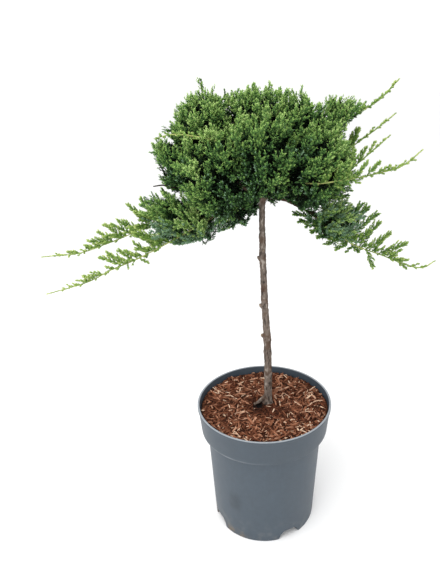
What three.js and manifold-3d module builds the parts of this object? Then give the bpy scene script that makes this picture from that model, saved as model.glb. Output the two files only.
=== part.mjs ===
// A nana Japanese garden juniper, grafted on a short stem, in a round nursery pot.
// Millimetres, +Z up, the front towards -Y. The origin is the centre of the pot's flat underside.

import * as THREE from "three";
import { mergeVertices } from "three/addons/utils/BufferGeometryUtils.js";
import Module from "manifold-3d";

// Driving dimensions

const GAP = 0.3; // clearance between neighbouring solids
const CUT_GROWTH = 0.5; // how much wider than a limb its cut through a mass is

const POT_HEIGHT = 218;
const RIM_RADIUS = 114;
const BAND_HEIGHT = 46; // the wide collar under the rim
const BAND_FOOT_RADIUS = 108;
const BODY_TOP_RADIUS = 98;
const BASE_RADIUS = 87.5;
const WALL = 2.4;
const RIM_WIDTH = 3.2;
const FLOOR_HEIGHT = 18; // underside of the floor above the ground
const PAD_RADIUS = 24; // the flat pad in the middle of the underside
const FOOT_WIDTH = 12;
const POT_SIDES = 36;
const ARCH_COUNT = 4; // drainage arches cut through the foot ring
const ARCH_FIRST_TURN = -61; // degrees from the front, seen from above
const ARCH_WIDTH = 36;
const ARCH_HEIGHT = 15;
const ARCH_ROUND = 8; // how far each side of an arch leans in to its top
const DRAIN_COUNT = 6;
const DRAIN_RADIUS = 5;
const DRAIN_SIDES = 6;

const MULCH_LEVEL = POT_HEIGHT - 15;
const MULCH_RINGS = 3;
const MULCH_SIDES = 30;
const MULCH_LUMP = 2.2;

const SEAT_RADIUS = 30; // the level place in the mulch that the stem's foot stands over
const STEM_SIDES = 9;
const STUB_SIDES = 5;
const STUB_RISE = 35; // degrees
const ROOT_SIDES = 5;
const ROOT_STEPS = 3;
const ROOT_RADIUS = 5;
const ROOT_TIP_RADIUS = 2.4;
const ROOT_HEIGHT = 16; // where a flare root leaves the stem, above the stem's foot
const BOUGH_SIDES = 4;
const BOUGH_STEPS = 4;
const BOUGH_FOOT_RADIUS = 2.5;
const BOUGH_TIP_RADIUS = 2;
const BOUGH_REACH = 0.62; // how far from the head towards its mass's middle a bough ends
const FORK_REACH = 0.9; // the same for a bough that forks from another
const BOUGH_SAG = 4;

const WHIP_SIDES = 4;
const WHIP_STEPS = 12;
const WHIP_FOOT_RADIUS = 2;
const WHIP_TIP_RADIUS = 0.9;
const LONG_SHOOT = 24; // a side shoot longer than this has side sprays
const SHOOT_WIDTH = 5;
const SHOOT_SIDE_WIDTH = 6;

const CORE_SHARE = 0.82; // a core's size beside the reach of its mass
const TWIG_LENGTH = 46;
const TWIG_WIDTH = 12;
const TWIG_SHARE = 0.85; // of the way out from its mass's middle, at most
const SIDE_SPRAYS = 3;
const SIDE_LENGTH = 27;
const SIDE_WIDTH = 11;
const SIDE_ANGLE = 0.7; // radians from the twig's own way
const SIDE_DEPTH = 29; // how far below the twig's tip its side sprays start
const LEAF_WIDEST = 0.6; // where along a spray it is widest

// Heights, sideways places and radii of the stem, from the mulch to the graft.
const STEM = [
  { at: [5.6, 10, MULCH_LEVEL + 3], radius: 7.8 },
  { at: [6.0, 9.6, 214], radius: 6.8 },
  { at: [6.3, 9, 232], radius: 6.2 },
  { at: [6.3, 8, 283], radius: 6.0 },
  { at: [4.2, 7, 345], radius: 5.5 },
  { at: [1.5, 6, 380], radius: 5.1 },
  { at: [0.1, 5, 411], radius: 5.0 },
  { at: [-2.7, 4, 478], radius: 4.6 },
  { at: [-3.3, 3, 530], radius: 4.3 },
  { at: [-3.3, 2, 554], radius: 4.5 },
  { at: [-3.4, 1.5, 566], radius: 5.4 },
  { at: [-4, 0.5, 576], radius: 6.4 },
];
const HEAD = [-4, 0.5, 576]; // the knuckle that the boughs grow from
const HEAD_RADIUS = 10.5;

// Pruning stubs on the stem: height, turn in degrees from the front, and size.
const STUBS = [
  { height: 334, turn: -80, size: 4.2 },
  { height: 388, turn: -70, size: 4.8 },
  { height: 402, turn: 150, size: 3.6 },
  { height: 470, turn: -95, size: 3.8 },
  { height: 484, turn: 10, size: 3.4 },
  { height: 512, turn: 160, size: 3.6 },
];
// Surface roots of the flare: turn in degrees from the front, and reach.
const FLARE_ROOTS = [
  { turn: -78, reach: 24 },
  { turn: -150, reach: 17 },
  { turn: 165, reach: 15 },
];

// The dense masses of the crown: middle, reach each way, where the bough enters, and how many twigs to try.
const MASSES = {
  crown_top: { middle: [-16, 14, 650], reach: [92, 94, 86], seed: 11, twigs: 32 },
  top_left: { middle: [-80, -4, 658], reach: [78, 84, 80], seed: 12, twigs: 38 },
  top_right: { middle: [50, 2, 654], reach: [76, 84, 74], seed: 13, twigs: 38 },
  arm_right: { middle: [108, 2, 694], reach: [52, 36, 24], seed: 14, twigs: 24, from: "right" },
  left: { middle: [-108, -14, 628], reach: [70, 78, 60], seed: 15, twigs: 42, from: "low_left" },
  front_left: { middle: [-62, -64, 620], reach: [72, 76, 70], seed: 16, twigs: 42 },
  front: { middle: [0, -70, 636], reach: [68, 74, 70], seed: 17, twigs: 42 },
  front_right: { middle: [58, -58, 626], reach: [72, 72, 64], seed: 18, twigs: 32 },
  right: { middle: [80, 8, 608], reach: [66, 74, 62], seed: 19, twigs: 40 },
  back_right: { middle: [48, 74, 628], reach: [80, 74, 74], seed: 20, twigs: 25 },
  back_left: { middle: [-60, 74, 628], reach: [84, 74, 74], seed: 21, twigs: 25 },
  low_left: { middle: [-114, -22, 550], reach: [70, 60, 56], seed: 22, twigs: 23 },
  low_front: { middle: [-48, -36, 570], reach: [56, 56, 46], seed: 23, twigs: 30 },
  low_right: { middle: [97, -10, 542], reach: [55, 50, 46], seed: 24, twigs: 22 },
  low_back: { middle: [-8, 74, 572], reach: [74, 56, 46], seed: 25, twigs: 32 },
};

// The long shoots that arch out of the crown: the bough they fork from, the points they pass through,
// how much of the stem is bare, and the side shoots.
const WHIPS = {
  whip_left_upper: {
    bough: "low_left",
    path: [[-160, -14, 544], [-206, -6, 521], [-246, 0, 503], [-294, 8, 482], [-356, 16, 471]],
    bare: 0.12, shoots: 17, longest: 62, seed: 31,
  },
  whip_left_lower: {
    bough: "low_front",
    path: [[-150, -44, 508], [-198, -41, 483], [-228, -40, 470], [-265, -37, 450], [-333, -34, 428]],
    bare: 0.4, shoots: 17, longest: 60, seed: 32,
  },
  whip_right_top: {
    bough: "arm_right",
    path: [[132, 0, 694], [150, -2, 704], [166, -4, 716], [188, -8, 741]],
    bare: 0.3, shoots: 8, longest: 18, seed: 33,
  },
  whip_right_back: {
    bough: "back_right",
    path: [[116, 22, 634], [142, 30, 650], [168, 36, 668], [199, 42, 692]],
    bare: 0.5, shoots: 10, longest: 34, seed: 34,
  },
  whip_right_middle: {
    bough: "top_right",
    path: [[112, -8, 604], [136, -4, 622], [160, 0, 642], [184, 4, 663]],
    bare: 0.5, shoots: 10, longest: 36, seed: 35,
  },
  whip_right_front: {
    bough: "front_right",
    path: [[66, -104, 612], [114, -92, 616], [146, -80, 620], [187, -72, 631], [213, -66, 651]],
    bare: 0.28, shoots: 17, longest: 42, seed: 36,
  },
  whip_right_lower: {
    bough: "low_right",
    path: [[113, -12, 519], [132, -14, 503], [176, -18, 487], [241, -20, 466], [261, -20, 477]],
    bare: 0.12, shoots: 19, longest: 58, seed: 37,
  },
  whip_back_left: {
    bough: "back_left",
    path: [[-72, 140, 600], [-86, 178, 584], [-98, 214, 566], [-110, 244, 556]],
    bare: 0.42, shoots: 12, longest: 44, seed: 38,
  },
  whip_back_right: {
    bough: "back_right",
    path: [[64, 138, 614], [78, 172, 606], [92, 206, 600], [104, 236, 604]],
    bare: 0.42, shoots: 12, longest: 42, seed: 39,
  },
};

const GOLDEN_TURN = Math.PI * (3 - Math.sqrt(5));
const DEGREE = Math.PI / 180;

// Materials

const paint = (color, roughness) => new THREE.MeshStandardMaterial({ color, roughness, metalness: 0 });
const potPlastic = paint(0x646f7a, 0.55);
const bark = paint(0x6d6259, 0.9);
const mulch = paint(0x724f3d, 0.95);
const foliage = paint(0x4a6a3c, 0.8);
const youngFoliage = paint(0x8fa65c, 0.75);

// Solids

const wasm = await Module();
wasm.setup();

const vector = (xyz) => new THREE.Vector3(...xyz);
const part = new THREE.Group();

// A closed three.js geometry as a solid that can be cut and joined.
function solidOf(geometry) {
  const bare = geometry.clone();
  bare.deleteAttribute("normal");
  bare.deleteAttribute("uv");
  const merged = mergeVertices(bare, 1e-4);
  return new wasm.Manifold(
    new wasm.Mesh({
      numProp: 3,
      vertProperties: new Float32Array(merged.attributes.position.array),
      triVerts: new Uint32Array(merged.index.array),
    }),
  );
}

// A solid as a three.js geometry again.
function geometryOf(solid) {
  const mesh = solid.getMesh();
  return new THREE.BufferGeometry()
    .setAttribute("position", new THREE.BufferAttribute(new Float32Array(mesh.vertProperties), 3))
    .setIndex(new THREE.BufferAttribute(new Uint32Array(mesh.triVerts), 1));
}

// The largest body of a solid, without the scraps that a cut can leave.
function largestBody(solid) {
  return solid.decompose().reduce((most, body) => (body.volume() > most.volume() ? body : most));
}

function add(name, geometry, material) {
  const flat = geometry.index ? geometry.toNonIndexed() : geometry;
  flat.computeVertexNormals();
  const mesh = new THREE.Mesh(flat, material);
  mesh.name = name;
  part.add(mesh);
}

// A profile of [radius, height] pairs turned about the Z axis.
function turned(profile, sides) {
  const points = profile.map(([radius, height]) => new THREE.Vector2(radius, height));
  return new THREE.LatheGeometry(points, sides).rotateX(Math.PI / 2);
}

// Seeded random numbers from 0 to 1, so that a mass grows the same way each time.
function seeded(seed) {
  let state = seed >>> 0;
  return () => {
    state = (state + 0x6d2b79f5) >>> 0;
    let t = Math.imul(state ^ (state >>> 15), state | 1);
    t ^= t + Math.imul(t ^ (t >>> 7), t | 61);
    return ((t ^ (t >>> 14)) >>> 0) / 4294967296;
  };
}

// A tapering limb: a cylinder whose rings are carried along a curve, each at its own radius.
// growth makes it wider and longer all round, for the cut that keeps a mass clear of it.
function limb(curve, radiusAt, sides, steps, growth = 0) {
  const geometry = new THREE.CylinderGeometry(1, 1, 1, sides, steps);
  const { normals, binormals, tangents } = curve.computeFrenetFrames(steps);
  const position = geometry.attributes.position;
  for (let i = 0; i < position.count; i++) {
    const share = position.getY(i) + 0.5;
    const step = Math.round(share * steps);
    const radius = radiusAt(share) + growth;
    const point = curve.getPointAt(share);
    const past = step === 0 ? -growth : step === steps ? growth : 0;
    point.addScaledVector(tangents[step], past);
    point.addScaledVector(binormals[step], position.getX(i) * radius);
    point.addScaledVector(normals[step], position.getZ(i) * radius);
    position.setXYZ(i, point.x, point.y, point.z);
  }
  return solidOf(geometry);
}

// An upright limb from rows of places and radii, bottom to top: one level ring of corners at each row.
// growth makes it wider and longer all round, as for limb.
function column(rows, sides, growth = 0) {
  const last = rows.length - 1;
  const geometry = new THREE.CylinderGeometry(1, 1, 1, sides, last);
  const position = geometry.attributes.position;
  for (let i = 0; i < position.count; i++) {
    const ring = Math.round((position.getY(i) + 0.5) * last);
    const { at, radius } = rows[ring];
    const out = radius + growth;
    const past = ring === 0 ? -growth : ring === last ? growth : 0;
    position.setXYZ(i, at[0] + position.getX(i) * out, at[1] - position.getZ(i) * out, at[2] + past);
  }
  return solidOf(geometry);
}

// Where an upright limb's middle is at a height, and how thick it is there.
function placeAtHeight(rows, height) {
  const next = rows.findIndex((row) => row.at[2] >= height);
  const [low, high] = [rows[next - 1], rows[next]];
  const share = (height - low.at[2]) / (high.at[2] - low.at[2]);
  return {
    point: vector(low.at).lerp(vector(high.at), share),
    radius: THREE.MathUtils.lerp(low.radius, high.radius, share),
  };
}

// A direction in the XY plane, turned from the front, and tipped up.
function heading(turn, rise = 0) {
  const flat = Math.cos(rise * DEGREE);
  return new THREE.Vector3(
    Math.sin(turn * DEGREE) * flat,
    -Math.cos(turn * DEGREE) * flat,
    Math.sin(rise * DEGREE),
  );
}

// Pot

function makePot() {
  const bandFoot = POT_HEIGHT - BAND_HEIGHT;
  const footInside = BASE_RADIUS - FOOT_WIDTH;
  const shell = turned(
    [
      [0, 0],
      [PAD_RADIUS, 0],
      [PAD_RADIUS + 5, FLOOR_HEIGHT],
      [footInside - 4, FLOOR_HEIGHT],
      [footInside, 0],
      [BASE_RADIUS, 0],
      [BODY_TOP_RADIUS, bandFoot - 2],
      [BAND_FOOT_RADIUS, bandFoot],
      [RIM_RADIUS - 1.5, POT_HEIGHT - 5],
      [RIM_RADIUS, POT_HEIGHT - 4],
      [RIM_RADIUS, POT_HEIGHT],
      [RIM_RADIUS - RIM_WIDTH, POT_HEIGHT],
      [BAND_FOOT_RADIUS - WALL, bandFoot + 2],
      [BODY_TOP_RADIUS - WALL, bandFoot],
      [BASE_RADIUS - WALL, FLOOR_HEIGHT + WALL],
      [0, FLOOR_HEIGHT + WALL],
    ],
    POT_SIDES,
  );
  let pot = solidOf(shell);
  for (let i = 0; i < ARCH_COUNT; i++) {
    const turn = (ARCH_FIRST_TURN + (360 / ARCH_COUNT) * i) * DEGREE;
    const outline = new THREE.Shape();
    outline.moveTo(-ARCH_WIDTH / 2, -1);
    outline.lineTo(ARCH_WIDTH / 2, -1);
    outline.lineTo(ARCH_WIDTH / 2 - 0.4 * ARCH_ROUND, ARCH_HEIGHT * 0.6);
    outline.lineTo(ARCH_WIDTH / 2 - ARCH_ROUND, ARCH_HEIGHT);
    outline.lineTo(ARCH_ROUND - ARCH_WIDTH / 2, ARCH_HEIGHT);
    outline.lineTo(0.4 * ARCH_ROUND - ARCH_WIDTH / 2, ARCH_HEIGHT * 0.6);
    const arch = new THREE.ExtrudeGeometry(outline, { depth: 3 * FOOT_WIDTH, bevelEnabled: false });
    arch.rotateX(Math.PI / 2).translate(0, 2 * FOOT_WIDTH - BASE_RADIUS, 0).rotateZ(turn);
    pot = pot.subtract(solidOf(arch));
  }
  for (let i = 0; i < DRAIN_COUNT; i++) {
    const drain = new THREE.CylinderGeometry(DRAIN_RADIUS, DRAIN_RADIUS, 4 * WALL, DRAIN_SIDES);
    const turn = ((i + 0.5) * 2 * Math.PI) / DRAIN_COUNT;
    const out = (PAD_RADIUS + BASE_RADIUS - FOOT_WIDTH) / 2;
    drain.rotateX(Math.PI / 2).translate(0, -out, FLOOR_HEIGHT + WALL / 2).rotateZ(turn);
    pot = pot.subtract(solidOf(drain));
  }
  add("pot", geometryOf(pot), potPlastic);
}

// Soil and bark mulch

// The height of the mulch at a place: a low mound with lumps, hollowed on the left of the stem.
function mulchHeight(x, y) {
  const out = Math.hypot(x, y) / RIM_RADIUS;
  const lumps = Math.sin(x * 0.13 + 1) * Math.cos(y * 0.11) + Math.sin((x + y) * 0.07);
  const hollow = Math.exp(-((x + 12) ** 2 + (y - 12) ** 2) / 160);
  return MULCH_LEVEL + 4 * (1 - out) + (MULCH_LUMP * lumps) / 2 - 5 * hollow;
}

function makeMulch() {
  const bandFoot = POT_HEIGHT - BAND_HEIGHT;
  const rise = (MULCH_LEVEL - bandFoot) / (POT_HEIGHT - bandFoot);
  const bandInside = BAND_FOOT_RADIUS - WALL;
  const edge = bandInside + (RIM_RADIUS - RIM_WIDTH - bandInside) * rise - GAP - 0.4;
  const profile = [
    [0, FLOOR_HEIGHT + WALL + GAP],
    [BASE_RADIUS - WALL - GAP - 0.2, FLOOR_HEIGHT + WALL + GAP],
    [BODY_TOP_RADIUS - WALL - GAP - 0.2, bandFoot + 0.4],
    [bandInside - GAP - 0.3, bandFoot + 2.6],
    [edge, MULCH_LEVEL],
  ];
  for (let ring = MULCH_RINGS - 1; ring >= 0; ring--) {
    profile.push([(edge * ring) / MULCH_RINGS, MULCH_LEVEL]);
  }
  const geometry = turned(profile, MULCH_SIDES);
  const position = geometry.attributes.position;
  for (let i = 0; i < position.count; i++) {
    const [x, y] = [position.getX(i), position.getY(i)];
    const onTop = position.getZ(i) > MULCH_LEVEL - GAP && Math.hypot(x, y) < edge - 1;
    if (onTop) position.setZ(i, mulchHeight(x, y));
  }
  const foot = vector(STEM[0].at);
  const seat = new THREE.CylinderGeometry(SEAT_RADIUS, SEAT_RADIUS, SEAT_RADIUS, 2 * STEM_SIDES);
  seat.rotateX(Math.PI / 2).translate(foot.x - 6, foot.y, foot.z - GAP + SEAT_RADIUS / 2);
  add("soil_and_mulch", geometryOf(solidOf(geometry).subtract(solidOf(seat))), mulch);
}

// Stem

// The knuckle at the stem's top, where it was grafted and the boughs start.
const headBall = (growth = 0) =>
  solidOf(new THREE.IcosahedronGeometry(HEAD_RADIUS + growth, 1).translate(...HEAD));

function makeStem() {
  let stem = column(STEM, STEM_SIDES);
  for (const stub of STUBS) {
    const { point, radius } = placeAtHeight(STEM, stub.height);
    const out = heading(stub.turn, STUB_RISE);
    const knot = new THREE.CylinderGeometry(stub.size * 0.5, stub.size * 0.85, stub.size * 1.6, STUB_SIDES);
    knot.applyQuaternion(new THREE.Quaternion().setFromUnitVectors(new THREE.Vector3(0, 1, 0), out));
    const middle = point.addScaledVector(out, radius);
    stem = stem.add(solidOf(knot.translate(middle.x, middle.y, middle.z)));
  }
  stem = stem.add(headBall());
  const foot = vector(STEM[0].at);
  for (const root of FLARE_ROOTS) {
    const out = heading(root.turn);
    const path = new THREE.CatmullRomCurve3([
      foot.clone().add(new THREE.Vector3(0, 0, ROOT_HEIGHT)),
      foot.clone().addScaledVector(out, root.reach * 0.45).add(new THREE.Vector3(0, 0, ROOT_HEIGHT * 0.45)),
      foot.clone().addScaledVector(out, root.reach).add(new THREE.Vector3(0, 0, -1)),
    ]);
    const radiusAt = (share) => THREE.MathUtils.lerp(ROOT_RADIUS, ROOT_TIP_RADIUS, share);
    stem = stem.add(limb(path, radiusAt, ROOT_SIDES, ROOT_STEPS));
  }
  const ground = new THREE.BoxGeometry(90, 90, 20).translate(foot.x, foot.y, foot.z - 10);
  add("stem", geometryOf(largestBody(stem.subtract(solidOf(ground)))), bark);
}

// Crown

// How strongly a mass holds its space against its neighbours: the square of its mean reach.
const hold = (mass) => ((mass.reach[0] + mass.reach[1] + mass.reach[2]) / 3) ** 2;

// The flat walls between a mass's own space and its neighbours', as planes {normal, distance}.
function wallsOf(name) {
  const own = MASSES[name];
  const middle = vector(own.middle);
  return Object.keys(MASSES)
    .filter((other) => other !== name)
    .map((other) => {
      const away = vector(MASSES[other].middle).sub(middle);
      const apart = away.length();
      const distance = (apart * apart + hold(own) - hold(MASSES[other])) / (2 * apart);
      return { normal: away.divideScalar(apart), distance: distance - GAP };
    });
}

// How far a mass reaches from its middle in a direction: its open outline, and its nearest wall.
function openReach(mass, way) {
  return 1 / Math.hypot(way.x / mass.reach[0], way.y / mass.reach[1], way.z / mass.reach[2]);
}
function wallReach(walls, way) {
  return walls.reduce((least, { normal, distance }) => {
    const along = way.dot(normal);
    return along > 1e-6 ? Math.min(least, distance / along) : least;
  }, Infinity);
}

// True if every corner of a geometry lies inside the walls of a space.
function keepsInside(geometry, walls, middle) {
  const position = geometry.attributes.position;
  const corner = new THREE.Vector3();
  for (let i = 0; i < position.count; i++) {
    corner.fromBufferAttribute(position, i).sub(middle);
    if (walls.some(({ normal, distance }) => corner.dot(normal) > distance)) return false;
  }
  return true;
}

// A geometry that stands on the origin along Y, turned to a way and moved to a root.
function stood(geometry, root, way) {
  geometry.applyQuaternion(new THREE.Quaternion().setFromUnitVectors(new THREE.Vector3(0, 1, 0), way));
  return geometry.translate(root.x, root.y, root.z);
}

// A spray of needles as a slim three-sided blade, widest past its middle.
function leaf(root, way, length, width) {
  const profile = [
    [0, 0],
    [width / 2, length * LEAF_WIDEST],
    [0, length],
  ].map(([out, along]) => new THREE.Vector2(out, along));
  return stood(new THREE.LatheGeometry(profile, 3), root, way);
}

// A way that leaves another at an angle, at a turn round it.
function aside(way, angle, turn) {
  const across = new THREE.Vector3(0, 0, 1).cross(way);
  if (across.lengthSq() < 1e-4) across.set(1, 0, 0);
  across.normalize().applyAxisAngle(way, turn);
  return way.clone().multiplyScalar(Math.cos(angle)).addScaledVector(across, Math.sin(angle)).normalize();
}

// The twigs of a mass: ways spread evenly round its middle, each nudged and lifted a little. One that
// would meet a wall before it reaches the open outline isn't grown.
function twigsOf(name) {
  const mass = MASSES[name];
  const random = seeded(mass.seed);
  const walls = wallsOf(name);
  const grown = [];
  for (let i = 0; i < mass.twigs; i++) {
    const height = 1 - (2 * i + 1) / mass.twigs;
    const flat = Math.sqrt(1 - height * height);
    const turn = i * GOLDEN_TURN + mass.seed;
    const way = new THREE.Vector3(Math.cos(turn) * flat, Math.sin(turn) * flat, height);
    const nudge = [random() - 0.5, random() - 0.5, random() - 0.5];
    way.addScaledVector(vector(nudge), 0.35).add(new THREE.Vector3(0, 0, 0.12)).normalize();
    const reach = openReach(mass, way) * (0.88 + 0.14 * random());
    if (wallReach(walls, way) > reach * 0.96) grown.push({ way, reach, turn: random() * 2 * Math.PI });
  }
  return grown;
}

// A twig is a long slim spray sunk deep in the core, with three shorter ones rooted on it. In a shallow
// part of a mass they are all smaller, by the same share.
function spraysOf({ way, reach, turn }, middle) {
  const share = Math.min(1, (TWIG_SHARE * reach) / TWIG_LENGTH);
  const spray = (depth, along, length, width) =>
    leaf(middle.clone().addScaledVector(way, reach - share * depth), along, share * length, share * width);
  const sprays = [spray(TWIG_LENGTH, way, TWIG_LENGTH, TWIG_WIDTH)];
  for (let i = 0; i < SIDE_SPRAYS; i++) {
    const side = aside(way, SIDE_ANGLE, turn + (i * 2 * Math.PI) / SIDE_SPRAYS);
    sprays.push(spray(SIDE_DEPTH, side, SIDE_LENGTH, SIDE_WIDTH));
  }
  return sprays;
}

// A mass's core: a ball of the core's share of its reach, cut flat by the walls.
function coreOf(name) {
  const { middle, reach } = MASSES[name];
  const ball = new THREE.IcosahedronGeometry(CORE_SHARE, 1).scale(...reach).translate(...middle);
  const away = vector(middle);
  return wallsOf(name).reduce(
    (core, { normal, distance }) =>
      core.trimByPlane(normal.clone().negate().toArray(), -distance - normal.dot(away)),
    solidOf(ball),
  );
}

// Where a limb of a given radius starts beside the tip of the bough that it forks from.
function forkStart(name, towards, radius) {
  const bough = boughCurve(name);
  const tip = bough.getPointAt(1);
  const away = towards.clone().sub(tip).normalize();
  const turn = away.clone().cross(bough.getTangentAt(1)).length();
  return tip.addScaledVector(away, GAP + 0.1 + (BOUGH_TIP_RADIUS + radius) * turn);
}

// A bough's curve from the head, or from another bough's tip, to where it ends in its mass.
function boughCurve(name) {
  const { middle, from } = MASSES[name];
  const head = vector(HEAD);
  const out = vector(middle).sub(head);
  const start = from
    ? forkStart(from, vector(middle), BOUGH_FOOT_RADIUS)
    : head.clone().addScaledVector(out.clone().normalize(), HEAD_RADIUS + GAP);
  const end = head.clone().addScaledVector(out, from ? FORK_REACH : BOUGH_REACH);
  const bend = start.clone().lerp(end, 0.5).add(new THREE.Vector3(0, 0, out.z > 0 ? -BOUGH_SAG : BOUGH_SAG));
  return new THREE.CatmullRomCurve3([start, bend, end]);
}
const boughRadius = (share) => THREE.MathUtils.lerp(BOUGH_FOOT_RADIUS, BOUGH_TIP_RADIUS, share);

// A whip's stem starts beside its bough's tip and runs through its points.
function whipCurve(whip) {
  const path = whip.path.map(vector);
  const start = forkStart(whip.bough, path[0], WHIP_FOOT_RADIUS);
  return new THREE.CatmullRomCurve3([start, ...path], false, "centripetal");
}
const whipRadius = (share) => THREE.MathUtils.lerp(WHIP_FOOT_RADIUS, WHIP_TIP_RADIUS, share);

// The side shoots of a whip: on alternate sides, longest near its foot, and lifted a little.
function whipShoots(whip, curve) {
  const random = seeded(whip.seed);
  const shoots = [];
  for (let i = 0; i < whip.shoots; i++) {
    const share = whip.bare + ((0.97 - whip.bare) * (i + 0.6 * random())) / whip.shoots;
    const along = curve.getTangentAt(share);
    const turn = (i % 2 ? 0.5 : -0.5) * Math.PI + (random() - 0.5) * 1.6;
    const way = aside(along, 0.5 + 0.2 * random(), turn).add(new THREE.Vector3(0, 0, 0.2)).normalize();
    const length = (0.3 + 0.7 * (1 - share)) * whip.longest * (0.7 + 0.5 * random());
    shoots.push({ root: curve.getPointAt(share), way, length, turn: random() * 2 * Math.PI });
  }
  return shoots;
}

// The solids of one side shoot: a slim spray, and for a long one two smaller sprays beside it.
function shootGeometries({ root, way, length, turn }) {
  const made = [leaf(root, way, length, SHOOT_WIDTH + 0.05 * length)];
  if (length < LONG_SHOOT) return made;
  for (let i = 0; i < 2; i++) {
    const side = aside(way, SIDE_ANGLE, turn + i * Math.PI);
    const from = root.clone().addScaledVector(way, length * (0.28 + 0.2 * i));
    made.push(leaf(from, side, length * 0.45, SHOOT_SIDE_WIDTH));
  }
  return made;
}

// True if a solid meets any of the others.
function meets(solid, others) {
  const box = solid.boundingBox();
  return others.some((other) => {
    const b = other.boundingBox();
    const apart = [0, 1, 2].some((i) => box.min[i] > b.max[i] || box.max[i] < b.min[i]);
    return !apart && solid.intersect(other).volume() > 1e-3;
  });
}

function makeCrown() {
  const cuts = [column(STEM, STEM_SIDES, CUT_GROWTH), headBall(CUT_GROWTH)];
  for (const name of Object.keys(MASSES)) {
    const curve = boughCurve(name);
    add(`bough_${name}`, geometryOf(limb(curve, boughRadius, BOUGH_SIDES, BOUGH_STEPS)), bark);
    cuts.push(limb(curve, boughRadius, BOUGH_SIDES, BOUGH_STEPS, CUT_GROWTH));
  }
  const curves = {};
  for (const [name, whip] of Object.entries(WHIPS)) {
    curves[name] = whipCurve(whip);
    cuts.push(limb(curves[name], whipRadius, WHIP_SIDES, WHIP_STEPS, CUT_GROWTH));
  }
  const clearings = wasm.Manifold.union(cuts);
  const cores = {};
  for (const name of Object.keys(MASSES)) cores[name] = largestBody(coreOf(name).subtract(clearings));

  const whips = [];
  for (const [name, whip] of Object.entries(WHIPS)) {
    const pieces = [limb(curves[name], whipRadius, WHIP_SIDES, WHIP_STEPS)];
    for (const shoot of whipShoots(whip, curves[name])) {
      const solids = shootGeometries(shoot).map(solidOf);
      if (!solids.some((solid) => meets(solid, [...Object.values(cores), ...whips]))) pieces.push(...solids);
    }
    const joined = largestBody(wasm.Manifold.union(pieces));
    whips.push(joined);
    add(name, geometryOf(joined), youngFoliage);
  }

  for (const name of Object.keys(MASSES)) {
    const middle = vector(MASSES[name].middle);
    const walls = wallsOf(name);
    const pieces = [cores[name]];
    const barriers = [clearings, ...whips];
    for (const grown of twigsOf(name)) {
      const [stalk, ...sides] = spraysOf(grown, middle)
        .map((spray) => (keepsInside(spray, walls, middle) ? solidOf(spray) : null))
        .map((solid) => (solid && !meets(solid, barriers) ? solid : null));
      if (stalk) pieces.push(stalk, ...sides.filter((solid) => solid));
    }
    add(`foliage_${name}`, geometryOf(largestBody(wasm.Manifold.union(pieces))), foliage);
  }
}

// The whole plant

makePot();
makeMulch();
makeStem();
makeCrown();

export default part;
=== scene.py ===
"""The looks of a potted nana Japanese garden juniper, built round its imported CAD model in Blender.

Shapes are worked out in millimetres with numpy and go into the meshes in metres.
"""

import math
from collections import namedtuple

import bmesh
import bpy
import numpy as np
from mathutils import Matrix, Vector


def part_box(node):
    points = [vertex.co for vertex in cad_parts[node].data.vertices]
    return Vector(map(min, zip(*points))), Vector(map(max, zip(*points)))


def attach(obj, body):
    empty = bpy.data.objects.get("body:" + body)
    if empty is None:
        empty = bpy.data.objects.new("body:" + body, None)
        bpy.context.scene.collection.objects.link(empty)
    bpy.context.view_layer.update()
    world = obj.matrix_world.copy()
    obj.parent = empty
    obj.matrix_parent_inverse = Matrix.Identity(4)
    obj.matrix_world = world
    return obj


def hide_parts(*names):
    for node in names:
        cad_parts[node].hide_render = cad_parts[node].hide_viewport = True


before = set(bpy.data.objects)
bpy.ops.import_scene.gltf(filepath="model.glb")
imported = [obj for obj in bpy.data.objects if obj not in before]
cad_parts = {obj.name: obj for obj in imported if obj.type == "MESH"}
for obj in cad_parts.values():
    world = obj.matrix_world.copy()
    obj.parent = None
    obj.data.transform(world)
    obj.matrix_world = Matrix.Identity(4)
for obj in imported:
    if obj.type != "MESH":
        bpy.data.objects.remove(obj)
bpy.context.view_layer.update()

bl_info = {
    "name": "Potted nana juniper",
    "version": (1, 0, 0),
    "blender": (4, 5, 0),
    "location": "View3D > Sidebar > Juniper",
    "description": "Builds the pot, mulch, stem, boughs, needles and long shoots of a grafted dwarf juniper",
    "category": "Object",
}

MM = 0.001
PHOTO_WIDTH = 440
PHOTO_HEIGHT = 587

# The pot and mulch, as in the part's source. Lengths are in millimetres, and turns in degrees from the front.

POT_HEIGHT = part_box("pot")[1].z / MM
RIM_RADIUS = 114.0
BAND_FOOT = POT_HEIGHT - 46
BAND_FOOT_RADIUS = 108.0
BODY_TOP_RADIUS = 98.0
BASE_RADIUS = 87.5
WALL = 2.4
RIM_WIDTH = 3.2
FLOOR_HEIGHT = 18.0
PAD_RADIUS = 24.0
PAD_MIDDLE = 0.01  # the radius of its narrowest ring
FOOT_WIDTH = 12.0
FLOOR_INNER = PAD_RADIUS + 5.0  # the raised floor, from the pad's slope out to the foot's
FLOOR_OUTER = BASE_RADIUS - FOOT_WIDTH - 4.0
COLLAR_STEP = 2.0
LIP_WIDTH = 1.5
LIP_HEIGHT = 4.0
LIP_FOOT = 5.0  # under the rim's top, where the lip starts to stand out
POT_SIDES = 288
POT_STEP = 9.0  # the longest face along its profile
POT_SHARP = 35.0
EDGE_ROUND = 0.9
MERGED = 0.02  # points nearer than this are one
ARCH_COUNT = 4
ARCH_FIRST_TURN = -61.0
ARCH_WIDTH = 36.0
ARCH_HEIGHT = 15.0
ARCH_ROUND = 8.0
DRAIN_COUNT = 6
DRAIN_RADIUS = 5.0
DRAIN_RINGS = 4
DRAIN_SIDE_ROWS = 10
SCUFF_X = (-62.0, -52.0, -46.0, -32.0)  # where the dark scuff on the wall begins, is full, and ends
SCUFF_Z = (52.0, 66.0, 82.0, 100.0)
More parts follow.
